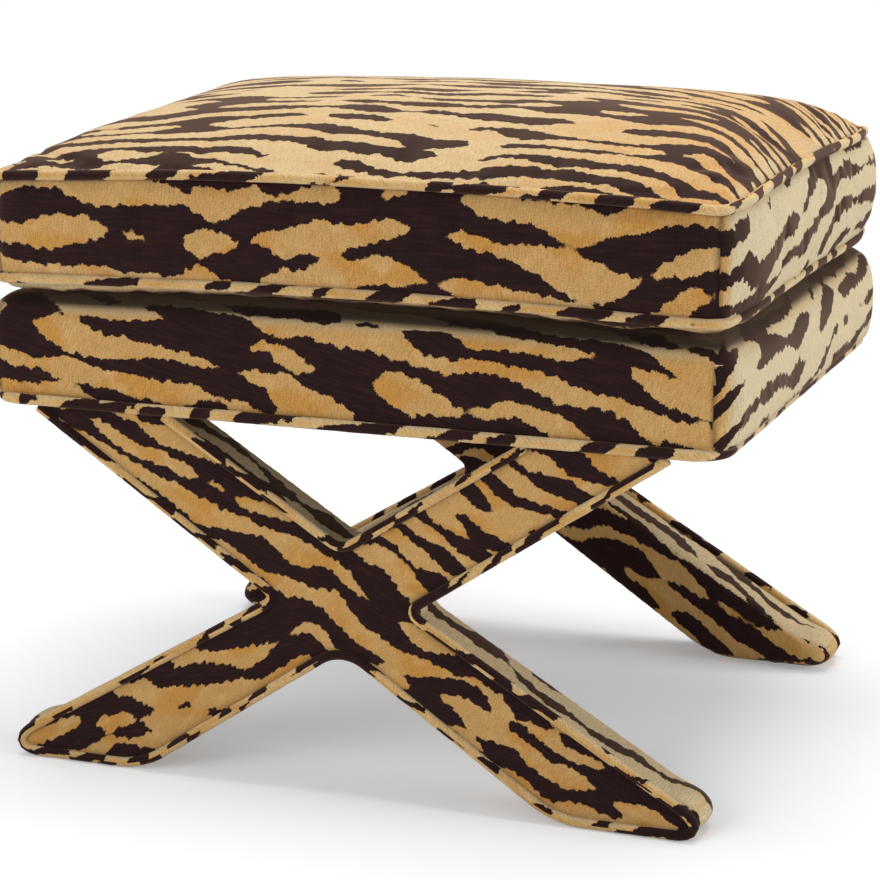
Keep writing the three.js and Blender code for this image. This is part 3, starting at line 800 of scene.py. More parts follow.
def fading(values: np.ndarray, width: float) -> np.ndarray:
    """A bell that is 1 at zero and fades over a width."""
    return np.exp(-((values / width) ** 2))


def grip(gap: np.ndarray, width: float, reach: float, most: float = 1.0) -> np.ndarray:
    """How firmly a seam holds cloth at some distance, down to 0 at reach times the width."""
    return np.clip(reach - gap / width, 0, most)


def write_shares(mesh: bpy.types.Mesh, name: str, shares: np.ndarray) -> None:
    """Writes a share from 0 to 1 at each vertex, which the velvet reads."""
    layer = mesh.attributes.new(name, "FLOAT", "POINT")
    layer.data.foreach_set("value", np.clip(shares, 0, 1).astype(np.float32))


@dataclass(frozen=True)
class PaintedSheen:
    """Painted sheen and light: how far the pile is painted pale, by the way a face turns and
    where it lies.
    """

    strength: float = 1.0
    left: float = 0.3
    lip: float = 0.55
    upward: float = 0.85
    crown_from: float = 450 * MM
    crown: float = 0.5
    crown_back_gain: float = 0.25
    crown_back: tuple[float, float] = (-200 * MM, 100 * MM)
    # less painted paleness on the crown's right slope, where the right lamp already lights it
    crown_right_loss: float = 0.65
    crown_right: tuple[float, float] = (80 * MM, 260 * MM)
    up_turn: tuple[float, float] = (0.35, 0.85)
    right_turn: tuple[float, float] = (0.45, 0.95)
    left_turn: tuple[float, float] = (0.3, 0.85)
    lip_turn: tuple[float, float] = (0.2, 0.6)

    def write(self, mesh: bpy.types.Mesh) -> None:
        """Writes the painted sheen share at each vertex of a mesh.

        Args:
            mesh: the mesh.
        """
        x, y, z = places_of(mesh).T
        nx, ny, nz = rows_of(mesh.vertices, "normal").astype(float).T
        crown = self.crown + self.crown_back_gain * eased(y, *self.crown_back)
        crown = crown * (1 - self.crown_right_loss * eased(x, *self.crown_right))
        upward = eased(nz, *self.up_turn) * np.where(z > self.crown_from, crown, self.upward)
        right = eased(nx, *self.right_turn)
        left = self.left * eased(-nx, *self.left_turn)
        # the belly's front lip is painted pale as if lit from the front
        lip = self.lip * eased(-nz, *self.lip_turn) * eased(-ny, *self.lip_turn)
        write_shares(mesh, PAINTED_SHEEN, self.strength * np.maximum.reduce([upward, right, left, lip]))


@dataclass(frozen=True)
class ContactShadow:
    """Painted contact shadow: the dark band where cushion and deck touch, which fades towards
    their middles.
    """

    fade_from: float = 28 * MM
    fade_to: float = 70 * MM

    def band(self, inside: np.ndarray, low: float, high: float) -> np.ndarray:
        """Shade at distances inside the edge, which starts between a low and a high one."""
        return eased(inside, low, high) * (1 - eased(inside, self.fade_from, self.fade_to))


CONTACT_SHADOW = ContactShadow()


@dataclass
class Inflation:
    """A short cloth simulation that swells a closed skin between its seams."""

    cap: float
    extra_cloth: float
    pressure: float = 4.0
    frames: int = 20
    least_hold: float = 0.02

    def run(self, piece: bpy.types.Object, pinned: np.ndarray) -> None:
        """Swells a piece and applies the result to its mesh.

        Args:
            piece: a closed piece of even squares.
            pinned: how firmly each vertex is held, from 0 to 1.
        """
        group = piece.vertex_groups.new(name="held")
        for index in np.nonzero(pinned > self.least_hold)[0]:
            group.add([int(index)], float(pinned[index]), "REPLACE")
        cloth = piece.modifiers.new("cloth", "CLOTH")
        velvet = {
            "quality": 5,
            "mass": 0.25,
            "air_damping": 3.0,
            "tension_stiffness": 25.0,
            "compression_stiffness": 12.0,
            "shear_stiffness": 8.0,
            "bending_stiffness": 1.2,
            "use_pressure": True,
            "uniform_pressure_force": self.pressure,
            "shrink_min": -self.extra_cloth,
            "shrink_max": -self.extra_cloth,
            "vertex_group_mass": group.name,
        }
        for name, value in velvet.items():
            setattr(cloth.settings, name, value)
        cloth.settings.effector_weights.gravity = 0.0
        cloth.collision_settings.use_collision = False
        cloth.point_cache.frame_start = 1
        cloth.point_cache.frame_end = self.frames
        scene = bpy.context.scene
        for step in range(1, self.frames + 1):
            scene.frame_set(step)
        graph = bpy.context.evaluated_depsgraph_get()
        swollen = places_of(piece.evaluated_get(graph).data)
        before = places_of(piece.data)
        piece.modifiers.clear()
        piece.vertex_groups.clear()
        scene.frame_set(1)
        shift = swollen - before
        length = np.maximum(np.linalg.norm(shift, axis=1, keepdims=True), TINY)
        capped = self.cap * np.tanh(length / self.cap)
        move_to(piece.data, before + shift / length * capped)
        LOG.info("%s swelled by up to %.1f mm", piece.name, float(capped.max()) / MM)


# Outlines and cords


@dataclass(frozen=True)
class Plan:
    """A rounded rectangle in plan, whose sides may be drawn in between its corners."""

    width: float
    depth: float
    radius: float
    draw_in: float = 0.0
    ends_draw_in: float = 0.0

    def run(self, spacing: float) -> tuple[Places, Places]:
        """Points anticlockwise round the plan, from the left end of the front.

        Args:
            spacing: distance between points, in metres.

        Returns:
            Places in the plane and outward directions, as two arrays of two columns.
        """
        half_x, half_y = self.width / 2, self.depth / 2
        places, outward = [], []
        for turn in range(4):
            reach, away = (half_x, half_y) if turn % 2 == 0 else (half_y, half_x)
            reach -= self.radius
            deepest = self.draw_in if turn % 2 == 0 else self.ends_draw_in
            steps = max(2, round(2 * reach / spacing))
            for step in range(steps):
                share = 2 * step / steps - 1
                drawn = deepest * (1 - share * share)
                places.append(self._turned(share * reach, drawn - away, turn))
                outward.append(self._turned(0.0, -1.0, turn))
            arc = self.radius * math.pi / 2
            bends = max(4, round(arc / spacing * 1.5))
            for bend in range(bends):
                angle = math.pi / 2 * bend / bends
                nx, ny = math.sin(angle), -math.cos(angle)
                corner = (reach + self.radius * nx, self.radius * (1 + ny) - away)
                places.append(self._turned(*corner, turn))
                outward.append(self._turned(nx, ny, turn))
        return np.array(places), np.array(outward)

    @staticmethod
    def _turned(x: float, y: float, quarters: int) -> tuple[float, float]:
        """A place turned by quarter turns.

        Args:
            x: place along X.
            y: place along Y.
            quarters: number of quarter turns.

        Returns:
            The turned place.
        """
        for _ in range(quarters):
            x, y = -y, x
        return x, y

    def inside(self, places: Places) -> np.ndarray:
        """How far inside the plan each place lies, negative outside it.

        Args:
            places: rows of x and y, or of x, y and z.

        Returns:
            Distances to the plan's edge.
        """
        half = np.array([self.width / 2 - self.radius, self.depth / 2 - self.radius])
        past = np.abs(places[:, :2]) - half
        outer = np.linalg.norm(np.maximum(past, 0), axis=1)
        return self.radius - outer - np.minimum(past.max(axis=1), 0)

    def block(self, low: float, high: float) -> bmesh.types.BMesh:
        """A solid box over the plan between two heights, with its upright edges rounded.

        Args:
            low: height of its underside.
            high: height of its top.

        Returns:
            The box.
        """
        source = bmesh.new()
        bmesh.ops.create_cube(source, size=1.0)
        size = Matrix.Diagonal((self.width, self.depth, high - low, 1))
        place = Matrix.Translation((0, 0, (high + low) / 2)) @ size
        bmesh.ops.transform(source, matrix=place, verts=source.verts)
        uprights = [e for e in source.edges if e.verts[0].co.xy == e.verts[1].co.xy]
        bevelled(source, uprights, self.radius)
        return source


def unit_rows(rows: np.ndarray) -> np.ndarray:
    """Rows scaled to length one."""
    return rows / np.linalg.norm(rows, axis=1, keepdims=True)


@dataclass
class Cord:
    """Piping: a cord wrapped in velvet, swept ring by ring along a path."""

    name: str
    radius: float
    cut: Cut
    closed: bool = True
    sides: int = 14
    seed: float = 0.0
    # painted sheen and light: how strongly the cord is painted pale
    sheen_paint: float = 0.8
    lumps: tuple[float, float] = (0.045, 60.0)
    wrinkles: tuple[float, float] = (0.03, 170.0)

    def _rings(self, path: Places, flat_normal: Vector) -> tuple[list[Matrix], Places]:
        """Places the cord's rings.

        Args:
            path: rows of x, y and z along the middle of the cord.
            flat_normal: the direction the path's plane faces.

        Returns:
            A matrix for each ring, and the distance travelled at each ring and at the end.
        """
        ahead = np.roll(path, -1, axis=0) - path
        behind = path - np.roll(path, 1, axis=0)
        if not self.closed:
            ahead[-1] = behind[-1]
            behind[0] = ahead[0]
        tangents = unit_rows(unit_rows(ahead) + unit_rows(behind))
        travelled = np.concatenate([[0.0], np.cumsum(np.linalg.norm(ahead, axis=1))])
        (lump, lump_waves), (wrinkle, wrinkle_waves) = self.lumps, self.wrinkles
        coarse = lump * smooth_noise(path, lump_waves, self.seed)
        fine = wrinkle * smooth_noise(path, wrinkle_waves, self.seed + 5)
        rings = []
        for place, tangent, size in zip(path, tangents, 1 + coarse + fine):
            forward = Vector(tangent)
            side = forward.cross(flat_normal).normalized()
            lift = side.cross(forward).normalized()
            turned = Matrix((side, lift, forward)).transposed().to_4x4()
            grown = Matrix.Scale(self.radius * float(size), 4)
            rings.append(Matrix.Translation(Vector(place)) @ turned @ grown)
        return rings, travelled

    def sweep(self, path: Places, flat_normal: Vector) -> bpy.types.Object:
        """Builds the cord with its cloth map.

        Args:
            path: rows of x, y and z along the middle of the cord.
            flat_normal: the direction the path's plane faces.

        Returns:
            The cord's object.
        """
        rings, travelled = self._rings(path, flat_normal)
        source = bmesh.new()
        along = source.verts.layers.float.new("along")
        turn = source.verts.layers.float.new("turn")
        ring = bmesh.ops.create_circle(source, segments=self.sides, radius=1.0)["verts"]
        for index, vertex in enumerate(ring):
            vertex[turn] = index / self.sides
        edges = first_edges = list(source.edges)
        bmesh.ops.transform(source, matrix=rings[0], verts=ring)
        for before, after, distance in zip(rings, rings[1:], travelled[1:]):
            made = bmesh.ops.extrude_edge_only(source, edges=edges)["geom"]
            ring = [item for item in made if isinstance(item, bmesh.types.BMVert)]
            fresh = set(ring)
            bars = (item for item in made if isinstance(item, bmesh.types.BMEdge))
            edges = [bar for bar in bars if set(bar.verts) <= fresh]
            for vertex in ring:
                vertex[along] = distance
            bmesh.ops.transform(source, matrix=after @ before.inverted(), verts=ring)
        if self.closed:
            bmesh.ops.bridge_loops(source, edges=first_edges + edges)
        else:
            bmesh.ops.holes_fill(source, edges=first_edges + edges, sides=self.sides)
        self._wrap(source, along, turn, float(travelled[-1]))
        mesh = from_bmesh(self.name, source)
        PaintedSheen(self.sheen_paint).write(mesh)
        return new_piece(self.name, mesh)

    def _wrap(
        self,
        source: bmesh.types.BMesh,
        along: bmesh.types.BMLayerItem,
        turn: bmesh.types.BMLayerItem,
        length: float,
    ) -> None:
        """Lays the cloth round the cord.

        Args:
            source: the cord's bmesh.
            along: the vertex layer with the distance along the path.
            turn: the vertex layer with the share of a turn round the cord.
            length: the whole length of the path.
        """
        cloth = source.loops.layers.uv.new(CLOTH_MAP)
        girth = 2 * math.pi * self.radius
        for face in source.faces:
            far = max(loop.vert[along] for loop in face.loops) > length / 2
            wide = max(loop.vert[turn] for loop in face.loops) > 0.5
            rows = []
            for loop in face.loops:
                run, round_share = loop.vert[along], loop.vert[turn]
                if far and run < length / 4 and self.closed:
                    run += length
                if wide and round_share < 0.25:
                    round_share += 1.0
                rows.append((run, round_share * girth))
            for loop, place in zip(face.loops, self.cut.on_roll(np.array(rows))):
                loop[cloth].uv = place


# The seat


@dataclass
class BoxCushion:
    """Loose box cushion: crowned top, boxing with corner seams, belly, and two cords."""

    velvet: bpy.types.Material
    cord_velvet: bpy.types.Material
    plan: Plan = Plan(596 * MM, 478 * MM, 12 * MM, 3 * MM, 5 * MM)
    lower_seam: float = 388 * MM
    upper_seam: float = 468.9 * MM
    seam_x: float = 286.5 * MM
    seam_reach: tuple[float, float] = (300 * MM, 240 * MM)
    lower_bow: float = 5 * MM
    upper_bow: float = 8 * MM
    sag: float = 3 * MM
    lower_sag_share: float = 0.35
    thin_from: float = 20 * MM
    thin_run: float = 280 * MM
    thin_loss: float = 0.2
    thin_power: float = 0.71
    end_reach: float = 298 * MM
    end_rise: float = 4.5 * MM
    end_tilt: float = 2 * MM
    crown: float = 44.5 * MM
    crown_blend: float = 8.0
    across_power: float = 6.6
    along_power: float = 2.0
    crown_steps: int = 300
    edge_width: float = 2.5 * MM
    edge_gain: float = 1.6
    rim: float = 2 * MM
    rim_width: float = 9 * MM
    belly: float = 8 * MM
    belly_roll: float = 3 * MM
    belly_width: float = 30 * MM
    lip_roll: float = 0.65
    lip_share: float = 0.02
    bulge: float = 4.5 * MM
    ends_bulge: float = 8 * MM
    swell_power: float = 0.6
    corner_pull: tuple[float, float] = (8 * MM, 4 * MM)
    corner_reach: float = 40 * MM
    rear_pull_loss: float = 0.6
    top_figure: float = 1.35
    top_lean: tuple[float, float] = (0.6, 80 * MM)
    edge_reach: float = 14 * MM
    seam_grip: tuple[float, float] = (6 * MM, 1.4)
    corner_grip: tuple[float, float, float] = (5 * MM, 1.2, 0.8)
    held_from: float = 200 * MM
    side_from: float = 220 * MM
    seam_press: float = 1.3 * MM
    seam_width: float = 1.8 * MM
    ripple: tuple[float, float] = (1.1 * MM, 0.9 * MM)
    ripple_from: tuple[float, float] = (288 * MM, 228 * MM)
    ripple_waves: float = 22.0
    quilt: float = 1.3 * MM
    quilt_waves: float = 9.0
    quilt_from: float = 4 * MM
    # painted contact shadow on the underside: where it starts and where it is full
    contact_shadow: tuple[float, float] = (8 * MM, 20 * MM)
    seam_shade: float = 0.72
    cord_shade: float = 0.4
    cord_shade_width: float = 4 * MM
    cord_shade_reach: float = 6 * MM
    cord_radius: float = 4 * MM
    cord_outset: float = 0.6 * MM
    cord_wander: tuple[float, float] = (0.6 * MM, 0.9 * MM)
    cord_waves: tuple[float, float] = (20.0, 14.0)
    swell_cap: float = 3.5 * MM
    extra_cloth: float = 0.018
    first_voxel: float = 8 * MM
    voxel: float = 6 * MM

    def pulled(self, flat: Places) -> Places:
        """Moves places near the corners of the seams towards the middle.

        Args:
            flat: rows of x and y.

        Returns:
            Shifts along X and Y.
        """
        half = np.array([self.plan.width / 2, self.plan.depth / 2])
        away = np.linalg.norm(half - np.abs(flat), axis=1, keepdims=True)
        return -np.sign(flat) * np.array(self.corner_pull) * fading(away, self.corner_reach)

    def thin_share(self, x: np.ndarray) -> np.ndarray:
        """How far places lie towards the left end, where the filling is thin, from 0 to 1."""
        return np.clip((-x - self.thin_from) / self.thin_run, 0, 1)

    def seam_lift(self, x: np.ndarray, y: np.ndarray, share: np.ndarray | float) -> np.ndarray:
        """How far the seams bow up in the middle, sag at the left end and rise at the right.

        Args:
            x: places along X.
            y: places along Y.
            share: 0 at the lower seam and 1 at the upper seam.

        Returns:
            Heights over the plain box.
        """
        bow = self.lower_bow + (self.upper_bow - self.lower_bow) * share
        sag = self.sag * (self.lower_sag_share + (1 - self.lower_sag_share) * share)
        right = np.clip(x / self.end_reach, 0, 1) ** 4 * share
        depth = y / self.seam_reach[1]
        rise = right * (self.end_rise * (1 - depth**2) + self.end_tilt * (1 + depth))
        return bow * (1 - (x / self.seam_reach[0]) ** 2) - sag * self.thin_share(x) ** 2 + rise

    def slack(self, x: np.ndarray, y: np.ndarray) -> np.ndarray:
        """Share of the crown that is lost where the filling is thin, at the front left.

        Args:
            x: places along X.
            y: places along Y.

        Returns:
            Shares from 0 to 1.
        """
        depth = y / self.seam_reach[1]
        front = np.clip(1 - 2 * depth - 2 * depth**2, 0, 2)
        return self.thin_loss * self.thin_share(x) ** self.thin_power * front

    def crown_height(self, u: np.ndarray, v: np.ndarray) -> np.ndarray:
        """Height of the crown, which falls in a gentle slope to each side.

        Args:
            u: share of the way from the middle to an end.
            v: share of the way from the middle to the front or back.

        Returns:
            Heights over the upper seam.
        """
        across = np.maximum(1 - u**self.across_power, SMALL)
        along = np.maximum(1 - v**self.along_power, SMALL)
        blend = self.crown_blend
        return self.crown * ((across**-blend + along**-blend) / 2) ** (-1 / blend)

    def unrolled(self, reach: np.ndarray, half: float, power: float) -> np.ndarray:
        """Runs over the crown from its middle.

        Args:
            reach: places along one axis, from the middle.
            half: half the cushion along that axis.
            power: shape of the crown along that axis.

        Returns:
            Distances along the cloth, with the sign of the places.
        """
        steps = np.linspace(0, 1, self.crown_steps)
        rises = np.diff(self.crown * (1 - steps**power))
        runs = np.concatenate([[0], np.cumsum(np.hypot(np.diff(steps) * half, rises))])
        return np.sign(reach) * np.interp(np.abs(reach) / half, steps, runs)

    def shaped(self, places: Places) -> Places:
        """Turns places on a plain box into places on the cushion.

        Args:
            places: rows on the skin of the box between the two seams.

        Returns:
            Rows on the cushion.
        """
        x, y, z = places.T
        half_x, half_y = self.plan.width / 2, self.plan.depth / 2
        u, v = np.clip(np.abs(x) / half_x, 0, 1), np.clip(np.abs(y) / half_y, 0, 1)
        share = np.clip((z - self.lower_seam) / (self.upper_seam - self.lower_seam), 0, 1)
        inside = np.maximum(self.plan.inside(places), 0)
        edge = 1 - np.exp(-inside / self.edge_width)
        crown = self.crown_height(u, v) * (1 - self.slack(x, y))
        crown = crown * np.clip(edge * self.edge_gain, 0, 1)
        crown = crown + self.rim * np.exp(-inside / self.rim_width)
        belly = edge * (self.belly + self.belly_roll * fading(inside, self.belly_width))
        top, bottom = share > 0.5, share <= 0.5
        swell = np.sin(math.pi * share) ** self.swell_power
        drawn_x = (self.ends_bulge * swell - self.plan.ends_draw_in * (1 - v**2)) * u**SIDE_POWER
        drawn_y = (self.bulge * swell - self.plan.draw_in * (1 - u**2)) * v**SIDE_POWER
        lift = self.seam_lift(x, y, share) + top * crown - bottom * belly
        pull = self.pulled(places[:, :2]).T * (1 - self.rear_pull_loss * swell * (y > 0))
        roll = self.lip_roll * inside * fading(inside, self.rim_width) * (share < self.lip_share)
        x_out = x + np.sign(x) * (drawn_x + roll * (u > v)) + pull[0]
        y_out = y + np.sign(y) * (drawn_y + roll * (v >= u)) + pull[1]
        return np.stack([x_out, y_out, z + lift], axis=1)

    def body(self) -> bpy.types.Object:
        """Builds the stuffed cover: a bevelled box, remeshed, crowned and swollen.

        Returns:
            The piece's object.
        """
        source = self.plan.block(self.lower_seam, self.upper_seam)
        piece = new_piece("seat_cushion", from_bmesh("seat_cushion", source))
        remeshed(piece, self.first_voxel)
        move_to(piece.data, self.shaped(places_of(piece.data)))
        remeshed(piece, self.voxel)
        places = places_of(piece.data)
        Inflation(self.swell_cap, self.extra_cloth).run(piece, self.held(places))
        baked(piece, "SUBSURF", levels=1, render_levels=1)
        self.crease(piece.data)
        return piece

    def seam_height(self, places: Places, height: float) -> np.ndarray:
        """Height of a seam of the cushion under or over each place."""
        share = float(height == self.upper_seam)
        return height + self.seam_lift(places[:, 0], places[:, 1], share)

    def held(self, places: Places) -> np.ndarray:
        """How firmly each place is held by the two seams and the corner seams.

        Args:
            places: rows of x, y and z.

        Returns:
            Shares from 0 to 1.
        """
        near_edge = self.plan.inside(places) < self.edge_reach
        firm = np.zeros(len(places))
        for height in (self.lower_seam, self.upper_seam):
            gap = np.abs(places[:, 2] - self.seam_height(places, height))
            firm = np.maximum(firm, near_edge * grip(gap, *self.seam_grip))
        corner = np.abs(np.abs(places[:, 0]) - self.seam_x)
        on_side = near_edge & (np.abs(places[:, 1]) > self.held_from)
        return np.maximum(firm, on_side * grip(corner, *self.corner_grip))

    def crease(self, mesh: bpy.types.Mesh) -> None:
        """Presses the corner seams in, adds slight creases, and paints shade along the seams,
        beside the cords and in a contact shadow band on the underside.

        Args:
            mesh: the mesh.
        """
        places = places_of(mesh)
        above = places[:, 2] - self.seam_height(places, self.upper_seam)
        below = self.seam_height(places, self.lower_seam) - places[:, 2]
        on_box = (above < 0) & (below < 0)
        on_side = on_box & (np.abs(places[:, 1]) > self.side_from)
        seam = fading(np.abs(places[:, 0]) - self.seam_x, self.seam_width) * on_side
        slant = places @ np.array([[1.0, 0.3, 0], [0.4, 1.0, 0], [0.9, 0.9, 0.0]])
        ripple = smooth_noise(slant, self.ripple_waves, seed=3.1) * on_box
        places[:, 1] -= np.sign(places[:, 1]) * self.seam_press * seam
        for axis, side in enumerate(self.ripple_from):
            outward = np.where(np.abs(places[:, axis]) > side, np.sign(places[:, axis]), 0)
            places[:, axis] += outward * ripple * self.ripple[axis]
        spread = places * np.array([1.0, 1.6, 0.0])
        quilt = self.quilt * smooth_noise(spread, self.quilt_waves, seed=8.4)
        places[:, 2] += quilt * (above > self.quilt_from)
        move_to(mesh, places)
        # painted shade: beside the cords, along the corner seams, and a contact shadow band on
        # the underside
        near = fading(np.minimum(np.abs(above), np.abs(below)), self.cord_shade_width)
        inside = self.plan.inside(places)
        beside = near * (inside < self.cord_shade_reach) * self.cord_shade
        under = CONTACT_SHADOW.band(inside, *self.contact_shadow) * (below > 0)
        shade = np.maximum.reduce([seam * self.seam_shade, beside, under])
        write_shares(mesh, SEAM_SHADE, shade)

    def lay(self, mesh: bpy.types.Mesh) -> None:
        """Cuts the cover's six panels from the roll.

        Args:
            mesh: the mesh.
        """
        centres, _ = face_facts(mesh)
        above = centres[:, 2] > self.seam_height(centres, self.upper_seam)
        below = centres[:, 2] < self.seam_height(centres, self.lower_seam)
        x, y = centres[:, 0], centres[:, 1]
        panel = np.where(y < 0, 2, 4)
        panel = np.where(np.abs(x) > self.seam_x, np.where(x > 0, 3, 5), panel)
        panel = np.where(above, 0, np.where(below, 1, panel))
        half_x = self.plan.width / 2

        def side_run(rows: Places) -> np.ndarray:
            """Distance along a short side, going on round its corners."""
            y_run = rows[:, 1]
            return y_run + np.sign(y_run) * (half_x - np.abs(rows[:, 0]))

        def over_crown(rows: Places) -> Places:
            """Distances over the crown, from the middle of the cushion.

            Args:
                rows: places on the cushion.

            Returns:
                Rows of two distances.
            """
            run = self.unrolled(rows[:, 0], half_x, self.across_power)
            rise = self.unrolled(rows[:, 1], self.plan.depth / 2, self.along_power)
            lean, lean_from = self.top_lean
            lift = lean * np.maximum(run - lean_from, 0) ** 2
            return np.stack([run, rise * self.top_figure + lift], 1)

        flats: list[tuple[FlatRule, Cut]] = [
            (over_crown, Cut(-2, 2.10, 0.43)),
            (lambda p: p[:, :2], Cut(3, 5.30, 1.90)),
            (lambda p: p[:, [0, 2]], Cut(-1, 7.73, 3.11)),
            (lambda p: np.stack([side_run(p), p[:, 2]], 1), Cut(9, 11.4, 5.02)),
            (lambda p: np.stack([-p[:, 0], p[:, 2]], 1), Cut(1, 13.9, 7.45)),
            (lambda p: np.stack([-side_run(p), p[:, 2]], 1), Cut(-4, 17.2, 9.27)),
        ]
        lay_cloth(mesh, panel, flats)
        PaintedSheen().write(mesh)

    def cord(self, name: str, height: float, cut: Cut, seed: float) -> bpy.types.Object:
        """Builds one of the two cords.

        Args:
            name: the piece's name.
            height: height of its seam.
            cut: where its bias strip is cut from.
            seed: shifts its unevenness.

        Returns:
            The cord's object.
        """
        flat, outward = self.plan.run(CORD_STEP)
        flat = flat + outward * self.cord_outset + self.pulled(flat)
        path = np.column_stack([flat, np.zeros(len(flat))])
        path[:, 2] = self.seam_height(path, height)
        (sideways, upwards), (side_waves, up_waves) = self.cord_wander, self.cord_waves
        path[:, 2] += upwards * smooth_noise(path, up_waves, seed)
        path[:, :2] += outward * (sideways * smooth_noise(path, side_waves, seed + 2))[:, None]
        return Cord(name, self.cord_radius, cut, seed=seed).sweep(path, Vector((0, 0, 1)))

    def build(self) -> None:
        """Builds and dresses the cushion."""
        body = self.body()
        self.lay(body.data)
        sides = [f"cushion_boxing_{side.name.lower()}" for side in Side]
        inner = [f"cushion_{part}" for part in ("core", "wrap", "top_panel", "bottom_panel")]
        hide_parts(*inner, *sides)
        dress(body, "cushion", self.velvet)
        cords = (
            ("top", self.upper_seam, Cut(38, 21.0, 2.2), 1.0),
            ("bottom", self.lower_seam, Cut(38, 24.0, 4.9), 4.0),
        )
        for place, height, cut, seed in cords:
            cord = self.cord(f"seat_cushion_cord_{place}", height, cut, seed)
            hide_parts(f"cushion_welt_{place}")
            dress(cord, "cushion", self.cord_velvet)


@dataclass
class PaddedDeck:
    """Deck cover pulled over its pad, with a rounded shoulder and a cord along its foot."""

    velvet: bpy.types.Material
    cord_velvet: bpy.types.Material
    plan: Plan = Plan(600 * MM, 482 * MM, 18 * MM)
    tuck: float = 9 * MM
    tuck_under: float = 2 * MM
    foot: float = 291.5 * MM
    hem: float = 299.5 * MM
    underside: float = 299.2 * MM
    top: float = 373 * MM
    shoulder: float = 18 * MM
    rise: float = 5 * MM
    rise_reach: float = 300 * MM
    rise_from: float = 0.2
    underside_from: float = 4 * MM
    underside_run: float = 8 * MM
    underside_share: float = 0.1
    bulge: float = 2.5 * MM
    ends_bulge: float = 5 * MM
    foot_grip: tuple[float, float] = (9 * MM, 1.5)
    seam_inset: float = 13 * MM
    seam_press: float = 1.1 * MM
    seam_width: float = 1.8 * MM
    seam_shade: float = 0.65
    seam_depth: float = 30 * MM
    seam_end: float = 4 * MM
    ripple: float = 0.9 * MM
    ripple_from: tuple[float, float] = (285 * MM, 226 * MM)
    ripple_waves: float = 24.0
    ripple_start: float = 12 * MM
    # painted contact shadow on the top under the cushion's edge: where it starts, where it is
    # full, and how far down it reaches
    contact_shadow: tuple[float, float] = (4 * MM, 10 * MM)
    contact_shadow_depth: float = 14 * MM
    top_inset: float = 22 * MM
    short_inset: float = 24 * MM
    foot_shade: float = 0.32
    foot_shade_height: float = 6 * MM
    foot_shade_width: float = 4 * MM
    cord_plan: Plan = Plan(583 * MM, 482 * MM, 24 * MM)
    cord_height: float = 294 * MM
    cord_radius: float = 4.5 * MM
    cord_outset: float = 1.5 * MM
    cord_wander: float = 0.4 * MM
    cord_waves: float = 14.0
    swell_cap: float = 2 * MM
    extra_cloth: float = 0.012
    voxel: float = 6 * MM

    def body(self) -> bpy.types.Object:
        """Builds the padded cover from a box with bevelled corners and shoulders.

        Returns:
            The piece's object.
        """
        source = self.plan.block(self.foot, self.top)
        rim = [e for e in source.edges if min(v.co.z for v in e.verts) > self.top - MM]
        bevelled(source, rim, self.shoulder)
        piece = new_piece("deck_upholstery", from_bmesh("deck_upholstery", source))
        remeshed(piece, self.voxel)
        move_to(piece.data, self.shaped(places_of(piece.data)))
        places = places_of(piece.data)
        held = grip(places[:, 2] - self.foot, *self.foot_grip)
        Inflation(self.swell_cap, self.extra_cloth).run(piece, held)
        baked(piece, "SUBSURF", levels=1, render_levels=1)
        self.crease(piece.data)
        return piece

    def shaped(self, places: Places) -> Places:
        """Turns places on the bevelled box into places on the deck.

        Args:
            places: rows on the box's skin.

        Returns:
            Rows on the deck.
        """
        x, y, z = places.T
        u, v = np.abs(x) / (self.plan.width / 2), np.abs(y) / (self.plan.depth / 2)
        share = np.clip((z - self.foot) / (self.top - self.foot), 0, 1)
        swell = np.sin(math.pi * share)
        tuck = self.tuck * (1 - eased(z, self.foot - self.tuck_under, self.hem))
        swell_x = self.ends_bulge * swell - tuck
        upper = np.clip(share * (1 + self.rise_from) - self.rise_from, 0, 1)
        lift = self.rise * (1 - (x / self.rise_reach) ** 2) * upper
        under = (self.plan.inside(places) - self.underside_from) / self.underside_run
        under = np.clip(under, 0, 1) * (share < self.underside_share)
        lift = lift + (self.underside - self.foot) * under
        x_out = x + np.sign(x) * swell_x * u**SIDE_POWER
        y_out = y + np.sign(y) * self.bulge * swell * v**SIDE_POWER
        return np.stack([x_out, y_out, z + lift], axis=1)

    def crease(self, mesh: bpy.types.Mesh) -> None:
        """Presses in the corner seams, adds slight creases, and paints shade at the seams, just
        above the foot cord and in a contact shadow band under the cushion's edge.

        Args:
            mesh: the mesh.
        """
        places = places_of(mesh)
        x, y, z = places.T
        corner_x, corner_y = self.plan.width / 2 - self.seam_inset, self.plan.depth / 2
        on_side = (np.abs(y) > corner_y - self.seam_depth) & (z < self.top - self.seam_end)
        seam = fading(np.abs(x) - corner_x, self.seam_width) * on_side
        slow = places * np.array([1.0, 1.0, 0.45])
        above_foot = np.clip((z - self.foot) / self.ripple_start, 0, 1)
        ripple = smooth_noise(slow, self.ripple_waves, seed=6.2) * self.ripple * above_foot
        out_x = np.where(np.abs(x) > self.ripple_from[0], np.sign(x), 0)
        out_y = np.where(np.abs(y) > self.ripple_from[1], np.sign(y), 0)
        places[:, 0] += out_x * ripple
        places[:, 1] += out_y * (ripple - self.seam_press * seam)
        move_to(mesh, places)
        # painted shade: just above the foot cord, at the corner seams, and a contact shadow band
        # under the cushion's edge
        over_foot = z - self.foot - self.foot_shade_height
        beside = self.foot_shade * fading(over_foot, self.foot_shade_width)
        inside = self.plan.inside(places)
        deck_contact_shadow = CONTACT_SHADOW.band(inside, *self.contact_shadow) * (z > self.top - self.contact_shadow_depth)
        shade = np.maximum.reduce([seam * self.seam_shade, beside, deck_contact_shadow])
        write_shares(mesh, SEAM_SHADE, shade)

